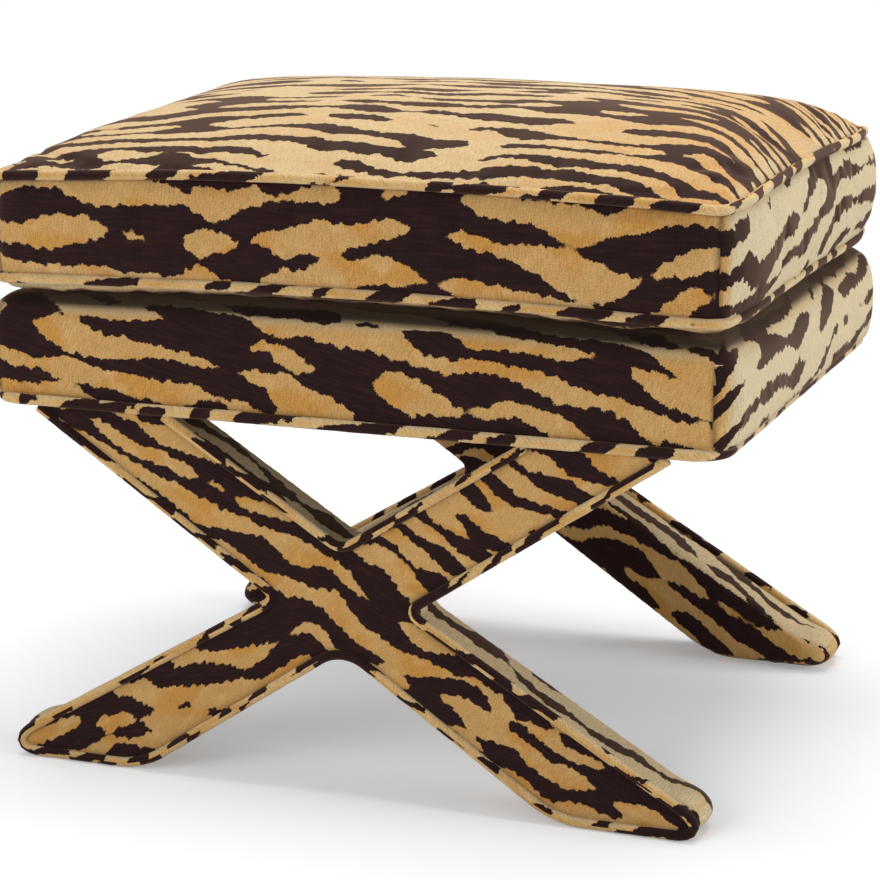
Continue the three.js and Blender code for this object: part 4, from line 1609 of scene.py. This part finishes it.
    def lay(self, mesh: bpy.types.Mesh) -> None:
        """Cuts the cover from the roll: long sides run over the top, short sides are set in.

        Args:
            mesh: the mesh.
        """
        centres, normals = face_facts(mesh)
        x, z = centres[:, 0], centres[:, 2]
        inner = self.plan.width / 2 - self.seam_inset
        top_reach = self.plan.depth / 2 - self.top_inset
        on_top = (normals[:, 2] > 0.25) & (np.abs(centres[:, 1]) < top_reach)
        short = (np.abs(x) > inner) | (np.abs(normals[:, 0]) > 0.72)
        short |= on_top & (np.abs(x) > inner - self.short_inset)
        panel = np.where(short, np.where(x > 0, 2, 3), np.where(centres[:, 1] < 0, 0, 1))
        panel = np.where((z < self.underside + MM) & (normals[:, 2] < -0.5), 4, panel)

        def pulled_over(rows: Places, towards: float) -> Places:
            """Place on the long sides, which go on over the top."""
            return np.stack([rows[:, 0], towards * rows[:, 1] + rows[:, 2]], 1)

        def short_side(rows: Places, towards: float) -> Places:
            """Place on a short side, which goes on over the shoulder."""
            rise = rows[:, 2] - np.abs(rows[:, 0])
            return np.stack([towards * rows[:, 1], rise], 1)

        flats: list[tuple[FlatRule, Cut]] = [
            (lambda p: pulled_over(p, 1.0), Cut(-14, 31.1, 12.04)),
            (lambda p: pulled_over(p, -1.0), Cut(4, 33.4, 14.4)),
            (lambda p: short_side(p, 1.0), Cut(8, 36.2, 16.6)),
            (lambda p: short_side(p, -1.0), Cut(-5, 38.9, 18.3)),
            (lambda p: p[:, :2], Cut(0, 41.0, 20.0)),
        ]
        lay_cloth(mesh, panel, flats)
        PaintedSheen().write(mesh)

    def cord(self) -> bpy.types.Object:
        """Builds the cord along the deck's foot.

        Returns:
            The cord's object.
        """
        flat, outward = self.cord_plan.run(CORD_STEP)
        path = np.column_stack([flat + outward * self.cord_outset, np.zeros(len(flat))])
        wander = self.cord_wander * smooth_noise(path, self.cord_waves, seed=9.0)
        path[:, 2] = self.cord_height + wander
        cord = Cord("deck_cord", self.cord_radius, Cut(38, 44.0, 22.0), seed=9.0)
        return cord.sweep(path, Vector((0, 0, 1)))

    def build(self) -> None:
        """Builds and dresses the deck."""
        body = self.body()
        self.lay(body.data)
        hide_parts("deck_cover", "deck_pad")
        dress(body, "stool", self.velvet)
        cord = self.cord()
        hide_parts("deck_welt")
        dress(cord, "stool", self.cord_velvet)


# The crossed frames


@dataclass(frozen=True)
class Corner:
    """A corner of the frame's outline, with the radius that rounds it."""

    x: float
    z: float
    radius: float = 0.0


@dataclass
class FrameOutline:
    """Outline of a crossed frame at the cloth on the edges of its bars."""

    corners: tuple[Corner, ...] = (
        Corner(-266 * MM, 298.5 * MM),
        Corner(-49.5 * MM, 154.03 * MM, 9 * MM),
        Corner(-297 * MM, 6 * MM, 10 * MM),
        Corner(-173 * MM, 6 * MM, 60 * MM),
        Corner(0, 122.98 * MM, 32 * MM),
        Corner(173 * MM, 6 * MM, 60 * MM),
        Corner(297 * MM, 6 * MM, 10 * MM),
        Corner(49.5 * MM, 154.03 * MM, 9 * MM),
        Corner(266 * MM, 298.5 * MM),
        Corner(164 * MM, 298.5 * MM),
        Corner(0, 194.92 * MM, 16 * MM),
        Corner(-164 * MM, 298.5 * MM),
    )
    degrees_per_step: float = 9.0

    def face(self, source: bmesh.types.BMesh, y: float) -> bmesh.types.BMFace:
        """Draws the outline as one face whose corners are rounded.

        Args:
            source: the bmesh that gets the face.
            y: the face's place along Y.

        Returns:
            The face.
        """
        verts = [source.verts.new((c.x, y, c.z)) for c in self.corners]
        source.faces.new(verts)
        count = len(self.corners)
        for index, corner in enumerate(self.corners):
            if not corner.radius:
                continue
            here = Vector((corner.x, corner.z))
            before = self.corners[index - 1]
            after = self.corners[(index + 1) % count]
            arms = [(Vector((c.x, c.z)) - here).normalized() for c in (before, after)]
            half = arms[0].angle(arms[1]) / 2
            steps = max(3, round(math.degrees(math.pi - 2 * half) / self.degrees_per_step))
            bevelled(source, [verts[index]], corner.radius / math.tan(half), steps, "VERTICES")
        source.faces.ensure_lookup_table()
        return source.faces[0]

    def loop(self) -> Places:
        """Rounded outline as rows of x and z, anticlockwise from the left arm's outer top.

        Returns:
            The rows.
        """
        source = bmesh.new()
        face = self.face(source, 0.0)
        rows = np.array([(v.co.x, v.co.z) for v in face.verts])
        source.free()
        start = int(np.argmin(np.abs(rows - [self.corners[0].x, self.corners[0].z]).sum(1)))
        rows = np.roll(rows, -start, axis=0)
        (x, z), (next_x, next_z) = rows.T, np.roll(rows, -1, axis=0).T
        return rows if x @ next_z > z @ next_x else np.roll(rows[::-1], 1, axis=0)


def resampled(path: Places, spacing: float) -> Places:
    """Spreads points evenly along an open path.

    Args:
        path: rows of coordinates.
        spacing: distance between the new points.

    Returns:
        The new rows, with the same two ends.
    """
    lengths = np.linalg.norm(np.diff(path, axis=0), axis=1)
    travelled = np.concatenate([[0], np.cumsum(lengths)])
    count = max(2, round(travelled[-1] / spacing))
    wanted = np.linspace(0, travelled[-1], count + 1)
    return np.column_stack([np.interp(wanted, travelled, column) for column in path.T])


@dataclass
class CrossedFrame:
    """One X: a padded cover over half-lapped bars, with cords round its show face."""

    end: End
    velvet: bpy.types.Material
    cord_velvet: bpy.types.Material
    roll: float = 0.0
    outline: FrameOutline = field(default_factory=FrameOutline)
    face_plane: float = 241 * MM
    thickness: float = 53.2 * MM
    rear_round: float = 3.5 * MM
    cord_radius: float = 4 * MM
    cord_outset: float = 1.6 * MM
    cord_plane: float = 240.2 * MM
    cord_top: float = 290.5 * MM
    cord_wander: float = 0.5 * MM
    cord_waves: float = 18.0
    crossing: float = 159 * MM
    figure: float = 1.4
    lean: float = 0.75
    lean_from: float = 30 * MM
    lean_fade: tuple[float, float] = (-10 * MM, 30 * MM)
    face_skin: float = 0.8 * MM
    face_turn: float = 0.6
    face_depth: float = 0.9
    puff: float = 2.6 * MM
    puff_width: float = 15 * MM
    puff_top: float = 292 * MM
    puff_fade: float = 14 * MM
    ripple: float = 0.5 * MM
    ripple_waves: float = 26.0
    ripple_inset: float = 5 * MM
    edge_puff: float = 1.2 * MM
    edge_power: float = 2.5
    edge_skin: float = 3 * MM
    nose_puff: float = 7.0 * MM
    nose: tuple[float, float] = (248 * MM, 272 * MM)
    nose_height: float = 80 * MM
    sole_drop: float = 4.2 * MM
    sole_height: float = 12 * MM
    sole_fade: float = 6 * MM
    cord_shade: float = 0.36
    cord_shade_width: float = 4.5 * MM
    # where the painted shade behind the cord lies on the edge band
    band_depth: float = 0.83
    band_width: float = 0.1
    band_end: float = 0.92
    band_skin: float = 2 * MM
    glide_x: float = 232 * MM
    glide_y: float = 214.4 * MM
    glide_clear: tuple[float, float] = (12.5 * MM, 9 * MM)
    voxel: float = 4 * MM

    @property
    def name(self) -> str:
        """Name stem of this frame's pieces."""
        return f"x_{self.end.name.lower()}"

    def body(self) -> bpy.types.Object:
        """Builds the cover: the outline drawn through the bar, its rear edges softened.

        Returns:
            The piece's object.
        """
        source = bmesh.new()
        face = self.outline.face(source, -self.face_plane)
        made = bmesh.ops.extrude_face_region(source, geom=[face])["geom"]
        moved = [item for item in made if isinstance(item, bmesh.types.BMVert)]
        bmesh.ops.translate(source, vec=(0, self.thickness, 0), verts=moved)
        rear = -self.face_plane + self.thickness
        rim = [e for e in source.edges if all(abs(v.co.y - rear) < NEAR for v in e.verts)]
        bevelled(source, rim, self.rear_round, segments=3)
        bmesh.ops.triangulate(source, faces=[f for f in source.faces if len(f.verts) > 4])
        piece = new_piece(f"{self.name}_cover", from_bmesh(f"{self.name}_cover", source))
        remeshed(piece, self.voxel)
        self.stuff(piece.data)
        baked(piece, "SUBSURF", levels=1, render_levels=1)
        return piece

    def nearest(self, rows: Places) -> tuple[np.ndarray, np.ndarray]:
        """Finds the nearest place on the outline.

        Args:
            rows: places, of which x and z are used.

        Returns:
            Distances to the outline and distances along it.
        """
        loop = self.outline.loop()
        after = np.roll(loop, -1, axis=0)
        spans = after - loop
        lengths = np.linalg.norm(spans, axis=1)
        start = np.concatenate([[0], np.cumsum(lengths)])[:-1]
        flat = rows[:, [0, 2]]
        best = np.full(len(flat), np.inf)
        along = np.zeros(len(flat))
        for place, span, length, begun in zip(loop, spans, lengths, start):
            if length < TINY:
                continue
            share = np.clip((flat - place) @ span / length**2, 0, 1)
            gap = np.linalg.norm(flat - place - share[:, None] * span, axis=1)
            closer = gap < best
            best = np.where(closer, gap, best)
            along = np.where(closer, begun + share * length, along)
        return best, along

    def stuff(self, mesh: bpy.types.Mesh) -> None:
        """Swells the padded faces, rounds the soles, leaves room for the glides and paints shade
        beside the cords.

        Args:
            mesh: the mesh.
        """
        places = places_of(mesh)
        inside, _ = self.nearest(places)
        middle = -self.face_plane + self.thickness / 2
        depth = (places[:, 1] - middle) / (self.thickness / 2)
        swell = self.puff * (1 - fading(inside, self.puff_width))
        swell = swell * np.clip((self.puff_top - places[:, 2]) / self.puff_fade, 0, 1)
        spread = places * np.array([1.0, 0.0, 1.0])
        ripple = smooth_noise(spread, self.ripple_waves, seed=2.2 + self.end.value)
        flat_face = np.abs(depth) > self.face_depth
        swell = swell + flat_face * self.ripple * ripple * (inside > self.ripple_inset)
        places[:, 1] += np.sign(depth) * swell * flat_face
        normals = rows_of(mesh.vertices, "normal").astype(float)
        nose = eased(np.abs(places[:, 0]), *self.nose) * (places[:, 2] < self.nose_height)
        crowned = 1 - np.clip(np.abs(depth), 0, 1) ** self.edge_power
        crowned = crowned * (inside < self.edge_skin)
        edge_swell = crowned * (self.edge_puff + self.nose_puff * nose)
        places[:, 0] += normals[:, 0] * edge_swell
        places[:, 2] += np.maximum(normals[:, 2], 0) * edge_swell
        self.round_sole(places, depth)
        move_to(mesh, places)
        # painted shade: on the show face beside the cords and on the edge band behind them
        on_edge = (np.abs(depth) < self.band_end) & (inside < self.band_skin)
        behind_cord = fading(depth + self.band_depth, self.band_width) * on_edge
        beside_cord = fading(inside, self.cord_shade_width) * (depth < -self.face_depth)
        shade = self.cord_shade * np.maximum(behind_cord, beside_cord)
        write_shares(mesh, SEAM_SHADE, shade)

    def round_sole(self, places: Places, depth: np.ndarray) -> None:
        """Lowers the soles between their edges, and not where a glide stands.

        Args:
            places: rows of x, y and z, which are moved.
            depth: place through the bar, from -1 at the show face to 1.
        """
        sole = np.clip((self.sole_height - places[:, 2]) / self.sole_fade, 0, 1)
        across = 1 - np.clip(np.abs(depth), 0, 1) ** 4
        off = np.hypot(np.abs(places[:, 0]) - self.glide_x, places[:, 1] + self.glide_y)
        kept_off, fade = self.glide_clear
        clear = eased(off, kept_off, kept_off + fade)
        places[:, 2] -= self.sole_drop * sole * across * clear

    def lay(self, mesh: bpy.types.Mesh) -> None:
        """Cuts the show face, the inner face and the edge band from the roll.

        Args:
            mesh: the mesh.
        """
        centres, normals = face_facts(mesh)
        depth = centres[:, 1] + self.face_plane
        panel = np.full(len(centres), 2)
        shown = (normals[:, 1] < -self.face_turn) | (depth < self.face_skin)
        inner = (normals[:, 1] > self.face_turn) | (depth > self.thickness - self.face_skin)
        panel = np.where(inner, 1, np.where(shown, 0, panel))

        def leaning(rows: Places) -> Places:
            """Place on a face, whose stripes lean with the bar at its lower left.

            Args:
                rows: places on the frame.

            Returns:
                Rows of two distances.
            """
            x, rise = rows[:, 0], rows[:, 2] - self.crossing
            low_left = np.minimum(x + self.lean_from, 0) * eased(-rise, *self.lean_fade)
            return self.figure * np.stack([x, rise - self.lean * low_left], 1)

        def band(rows: Places) -> Places:
            """Distance along the outline and through the bar."""
            _, along = self.nearest(rows)
            return np.stack([along, rows[:, 1]], 1)

        flats: list[tuple[FlatRule, Cut]] = [
            (leaning, Cut(-24, 50.2 + self.roll, 24.3)),
            (leaning, Cut(-20, 54.1 + self.roll, 27.7)),
            (band, Cut(3, 58.6 + self.roll, 30.9)),
        ]
        lay_cloth(mesh, panel, flats)
        PaintedSheen(0.9).write(mesh)

    def cords(self) -> dict[str, bpy.types.Object]:
        """Builds the two cords, which run from arm to arm under the deck's cord.

        Returns:
            The cords by their place, outer and inner.
        """
        loop = self.outline.loop()
        tops = [
            int(np.argmin(np.abs(loop - [c.x, c.z]).sum(1)))
            for c in (self.outline.corners[place] for place in (0, 8, 9, 11))
        ]
        runs = {
            "outer": loop[tops[0] : tops[1] + 1],
            "inner": loop[tops[2] : tops[3] + 1],
        }
        made = {}
        for index, (place, run) in enumerate(runs.items()):
            even = resampled(run, CORD_STEP)
            ahead = unit_rows(np.gradient(even, axis=0))
            outward = np.stack([ahead[:, 1], -ahead[:, 0]], 1)
            even = even + outward * self.cord_outset
            even = even[even[:, 1] < self.cord_top]
            path = np.column_stack([even[:, 0], np.full(len(even), -self.cord_plane), even[:, 1]])
            wander = smooth_noise(path, self.cord_waves, seed=11.0 + index)
            path[:, 1] -= self.cord_wander * wander
            name = f"{self.name}_cord_{place}"
            cut = Cut(38, 61.0 + 3 * index + self.roll, 33.0 + index)
            cord = Cord(name, self.cord_radius, cut, closed=False, seed=12.0 + index)
            made[place] = cord.sweep(path, Vector((0, -1, 0)))
        return made

    def placed(self, piece: bpy.types.Object) -> None:
        """Turns a piece of the front frame round to the back where it belongs there."""
        if self.end is End.BACK:
            piece.data.transform(Matrix.Rotation(math.pi, 4, "Z"))

    def build(self) -> None:
        """Builds and dresses one crossed frame."""
        body = self.body()
        self.lay(body.data)
        self.placed(body)
        parts = [f"{face}_{layer}" for layer in ("batting", "panel") for face in ("face", "back")]
        parts += ["boxing_outer", "boxing_inner"]
        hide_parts(*(f"{self.name}_{part}" for part in parts))
        dress(body, "stool", self.velvet)
        for place, cord in self.cords().items():
            self.placed(cord)
            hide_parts(f"{self.name}_welt_{place}")
            dress(cord, "stool", self.cord_velvet)


# Underside


@dataclass
class DustCover:
    """Black cloth stapled under the deck, cut out round the four arms."""

    cloth: bpy.types.Material
    wire: bpy.types.Material
    width: float = 576 * MM
    depth: float = 458 * MM
    height: float = 298.1 * MM
    thickness: float = 0.6 * MM
    notch_inner: float = 161 * MM
    notch_outer: float = 266.3 * MM
    notch_depth: float = 41.5 * MM
    sag: float = 2.5 * MM
    sag_reach: float = 0.82
    cut_lines: tuple[float, ...] = (80 * MM, 220 * MM)
    cross_cut_lines: tuple[float, ...] = (60 * MM, 130 * MM)
    cuts: int = 4
    staple: tuple[float, float, float] = (10 * MM, 1.3 * MM, 0.8 * MM)
    staple_drop: float = 0.95 * MM
    staple_round: float = 0.25 * MM
    staple_gap: float = 45 * MM
    staple_inset: float = 9 * MM
    staple_start: float = 20 * MM

    def build(self) -> None:
        """Builds the cloth and its staples."""
        source = bmesh.new()
        bmesh.ops.create_grid(source, x_segments=1, y_segments=1, size=0.5)
        size = Matrix.Diagonal((self.width, self.depth, 1, 1))
        bmesh.ops.transform(source, matrix=size, verts=source.verts)
        inner_y = self.depth / 2 - self.notch_depth
        marks_x = (self.notch_inner, self.notch_outer, *self.cut_lines)
        marks_y = (inner_y, *self.cross_cut_lines)
        cuts = [Vector((x * hand, 0, 0)) for x in marks_x for hand in (-1, 1)]
        cuts += [Vector((0, y * hand, 0)) for y in marks_y for hand in (-1, 1)]
        middle = Vector((0, 0, 0))
        planes = [(cut, cut.normalized()) for cut in cuts]
        planes += [(middle, Vector((1, 0, 0))), (middle, Vector((0, 1, 0)))]
        for place, normal in planes:
            geom = [*source.verts, *source.edges, *source.faces]
            bmesh.ops.bisect_plane(source, geom=geom, plane_co=place, plane_no=normal)
        notched = []
        for face in source.faces:
            centre = face.calc_center_median()
            beside = self.notch_inner < abs(centre.x) < self.notch_outer
            if beside and abs(centre.y) > inner_y:
                notched.append(face)
        bmesh.ops.delete(source, geom=notched, context="FACES")
        edges = source.edges
        bmesh.ops.subdivide_edges(source, edges=edges, cuts=self.cuts, use_grid_fill=True)
        for vertex in source.verts:
            u, v = 2 * vertex.co.x / self.width, 2 * vertex.co.y / self.depth
            dip = max(0.0, (1 - u**4) * (1 - (v / self.sag_reach) ** 4))
            vertex.co.z = self.height - self.sag * dip
        bmesh.ops.recalc_face_normals(source, faces=source.faces)
        bmesh.ops.solidify(source, geom=list(source.faces), thickness=self.thickness)
        piece = new_piece("dust_cloth", from_bmesh("dust_cloth", source))
        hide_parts("dust_cover")
        dress(piece, "stool", self.cloth)
        staples = self.staples()
        dress(staples, "stool", self.wire)

    def staples(self) -> bpy.types.Object:
        """Builds the row of staples along the four edges.

        Returns:
            The piece's object.
        """
        source = bmesh.new()
        inset = self.staple_inset
        half_x, half_y = self.width / 2 - inset, self.depth / 2 - inset
        spots = []
        for x in np.arange(-half_x + self.staple_start, half_x, self.staple_gap):
            if not self.notch_inner - inset < abs(x) < self.notch_outer + inset:
                spots += [(x, -half_y, 0.0), (x, half_y, 0.0)]
        for y in np.arange(-half_y + self.staple_start, half_y, self.staple_gap):
            spots += [(-half_x, y, math.pi / 2), (half_x, y, math.pi / 2)]
        for x, y, turn in spots:
            crown = Matrix.Translation((x, y, self.height - self.staple_drop))
            crown = crown @ Matrix.Rotation(turn, 4, "Z")
            crown = crown @ Matrix.Diagonal((*self.staple, 1))
            made = bmesh.ops.create_cube(source, size=1.0, matrix=crown)["verts"]
            edges = {edge for vertex in made for edge in vertex.link_edges}
            bevelled(source, list(edges), self.staple_round, segments=1)
        return new_piece("dust_cloth_staples", from_bmesh("dust_cloth_staples", source))


@dataclass
class Timberwork:
    """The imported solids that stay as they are: bars, rails, blocks, board and fastenings."""

    hardwood: bpy.types.Material
    hardwood_deep: bpy.types.Material
    plywood: bpy.types.Material
    zinc: bpy.types.Material
    nylon: bpy.types.Material

    def finish_of(self, node: str) -> bpy.types.Material | None:
        """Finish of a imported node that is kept, or None if the node is replaced.

        Args:
            node: the node's name.

        Returns:
            Its material or None.
        """
        if node.startswith(("bolt", "washer")):
            return self.zinc
        if node.startswith("glide"):
            return self.nylon
        if node == "deck_board":
            return self.plywood
        if node in ("rail_left", "rail_right"):
            return self.hardwood_deep
        if node.startswith(("rail", "glue_block", "dowel")) or "_bar_" in node:
            return self.hardwood
        return None

    def build(self) -> None:
        """Dresses the kept nodes."""
        for name, node in sorted(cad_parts.items()):
            finish = self.finish_of(name)
            if finish is None:
                continue
            node.data.materials.clear()
            node.data.materials.append(finish)
            LOG.info("%s: kept, in %s", name, finish.name)


# Studio


@dataclass
class Softbox:
    """An area lamp aimed at the stool."""

    name: str
    place: tuple[float, float, float]
    size: float
    power: float
    tint: str = "ffffff"
    aim: tuple[float, float, float] = (0.0, 0.0, 0.3)

    def build(self) -> None:
        """Adds the lamp."""
        lamp = bpy.data.lights.new(self.name, "AREA")
        lamp.shape = "SQUARE"
        lamp.size = self.size
        lamp.energy = self.power
        lamp.color = linear(self.tint)[:3]
        piece = bpy.data.objects.new(self.name, lamp)
        piece.location = self.place
        towards = Vector(self.aim) - Vector(self.place)
        piece.rotation_euler = towards.to_track_quat("-Z", "Y").to_euler()
        bpy.context.scene.collection.objects.link(piece)


@dataclass
class Studio:
    """White studio: floor, even world, softboxes and the camera."""

    floor: bpy.types.Material
    camera_place: tuple[float, float, float] = (0.7695, -2.0926, 0.7545)
    yaw: float = 20.43
    pitch: float = -13.25
    focal_share: float = 2753 / 880
    sensor: float = 36.0
    floor_radius: float = 30.0
    ambient: float = 0.34
    lamps: tuple[Softbox, ...] = (
        Softbox("overhead_softbox", (0.0, 0.4, 2.6), size=2.0, power=51.0),
        Softbox("right_softbox", (2.7, 0.2, 1.0), size=1.6, power=26.0),
        Softbox("front_softbox", (-1.1, -2.8, 1.3), size=1.8, power=26.0),
    )

    def world(self) -> None:
        """White behind everything, plain light grey on the object."""
        world = bpy.data.worlds.new("studio_world")
        bpy.context.scene.world = world
        recipe = Recipe(world)
        grey, white = (
            recipe.node("ShaderNodeBackground", None, {"Color": WHITE, "Strength": strength})
            for strength in (self.ambient, 1.0)
        )
        recipe.ended(recipe.between(recipe.seen(), grey, white), "ShaderNodeOutputWorld")

    def camera(self) -> None:
        """Places the camera where the photograph was taken from."""
        lens = bpy.data.cameras.new("studio_camera")
        lens.sensor_width = self.sensor
        lens.lens = self.sensor * self.focal_share
        lens.clip_end = 100.0
        piece = bpy.data.objects.new("studio_camera", lens)
        piece.location = self.camera_place
        piece.rotation_euler = (math.radians(90 + self.pitch), 0, math.radians(self.yaw))
        bpy.context.scene.collection.objects.link(piece)
        bpy.context.scene.camera = piece

    def build(self) -> None:
        """Builds the studio."""
        source = bmesh.new()
        bmesh.ops.create_circle(source, cap_ends=True, segments=64, radius=self.floor_radius)
        floor = new_piece("studio_floor", from_bmesh("studio_floor", source))
        floor.data.materials.append(self.floor)
        self.world()
        self.camera()
        for lamp in self.lamps:
            lamp.build()
        bpy.context.scene.view_settings.view_transform = "Standard"


def main() -> None:
    """Builds the stool's looks and the studio."""
    logging.basicConfig(level=logging.INFO, format="%(message)s")
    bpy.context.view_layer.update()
    velvet = TigerVelvet("tiger_velvet").make()
    cord_velvet = TigerVelvet(
        "tiger_velvet_cord", tan="d6ae72", amber="cf9d57", pale="dfbd84", gold_bias=0.15
    ).make()
    hardwood = Timber("hardwood_lengthwise", (6.0, 60.0, 60.0)).make()
    hardwood_deep = Timber("hardwood_crosswise", (60.0, 6.0, 60.0)).make()
    plywood = Timber("plywood_face", (5.0, 40.0, 40.0), "dcc29a", "c09c6c").make()
    zinc = FineGrain("zinc_plate", "b4b7ba", "85888c", 900.0, 0.34, metallic=1.0).make()
    nylon = FineGrain("black_nylon", "1d1d1f", "2b2b2d", 1500.0, 0.5).make()
    BoxCushion(velvet, cord_velvet).build()
    PaddedDeck(velvet, cord_velvet).build()
    for end, roll in ((End.FRONT, 0.0), (End.BACK, 6.5)):
        CrossedFrame(end, velvet, cord_velvet, roll=roll).build()
    DustCover(DustCloth("black_dust_cloth").make(), zinc).build()
    Timberwork(hardwood, hardwood_deep, plywood, zinc, nylon).build()
    Studio(StudioFloor().make()).build()


if __name__ == "__main__":
    main()
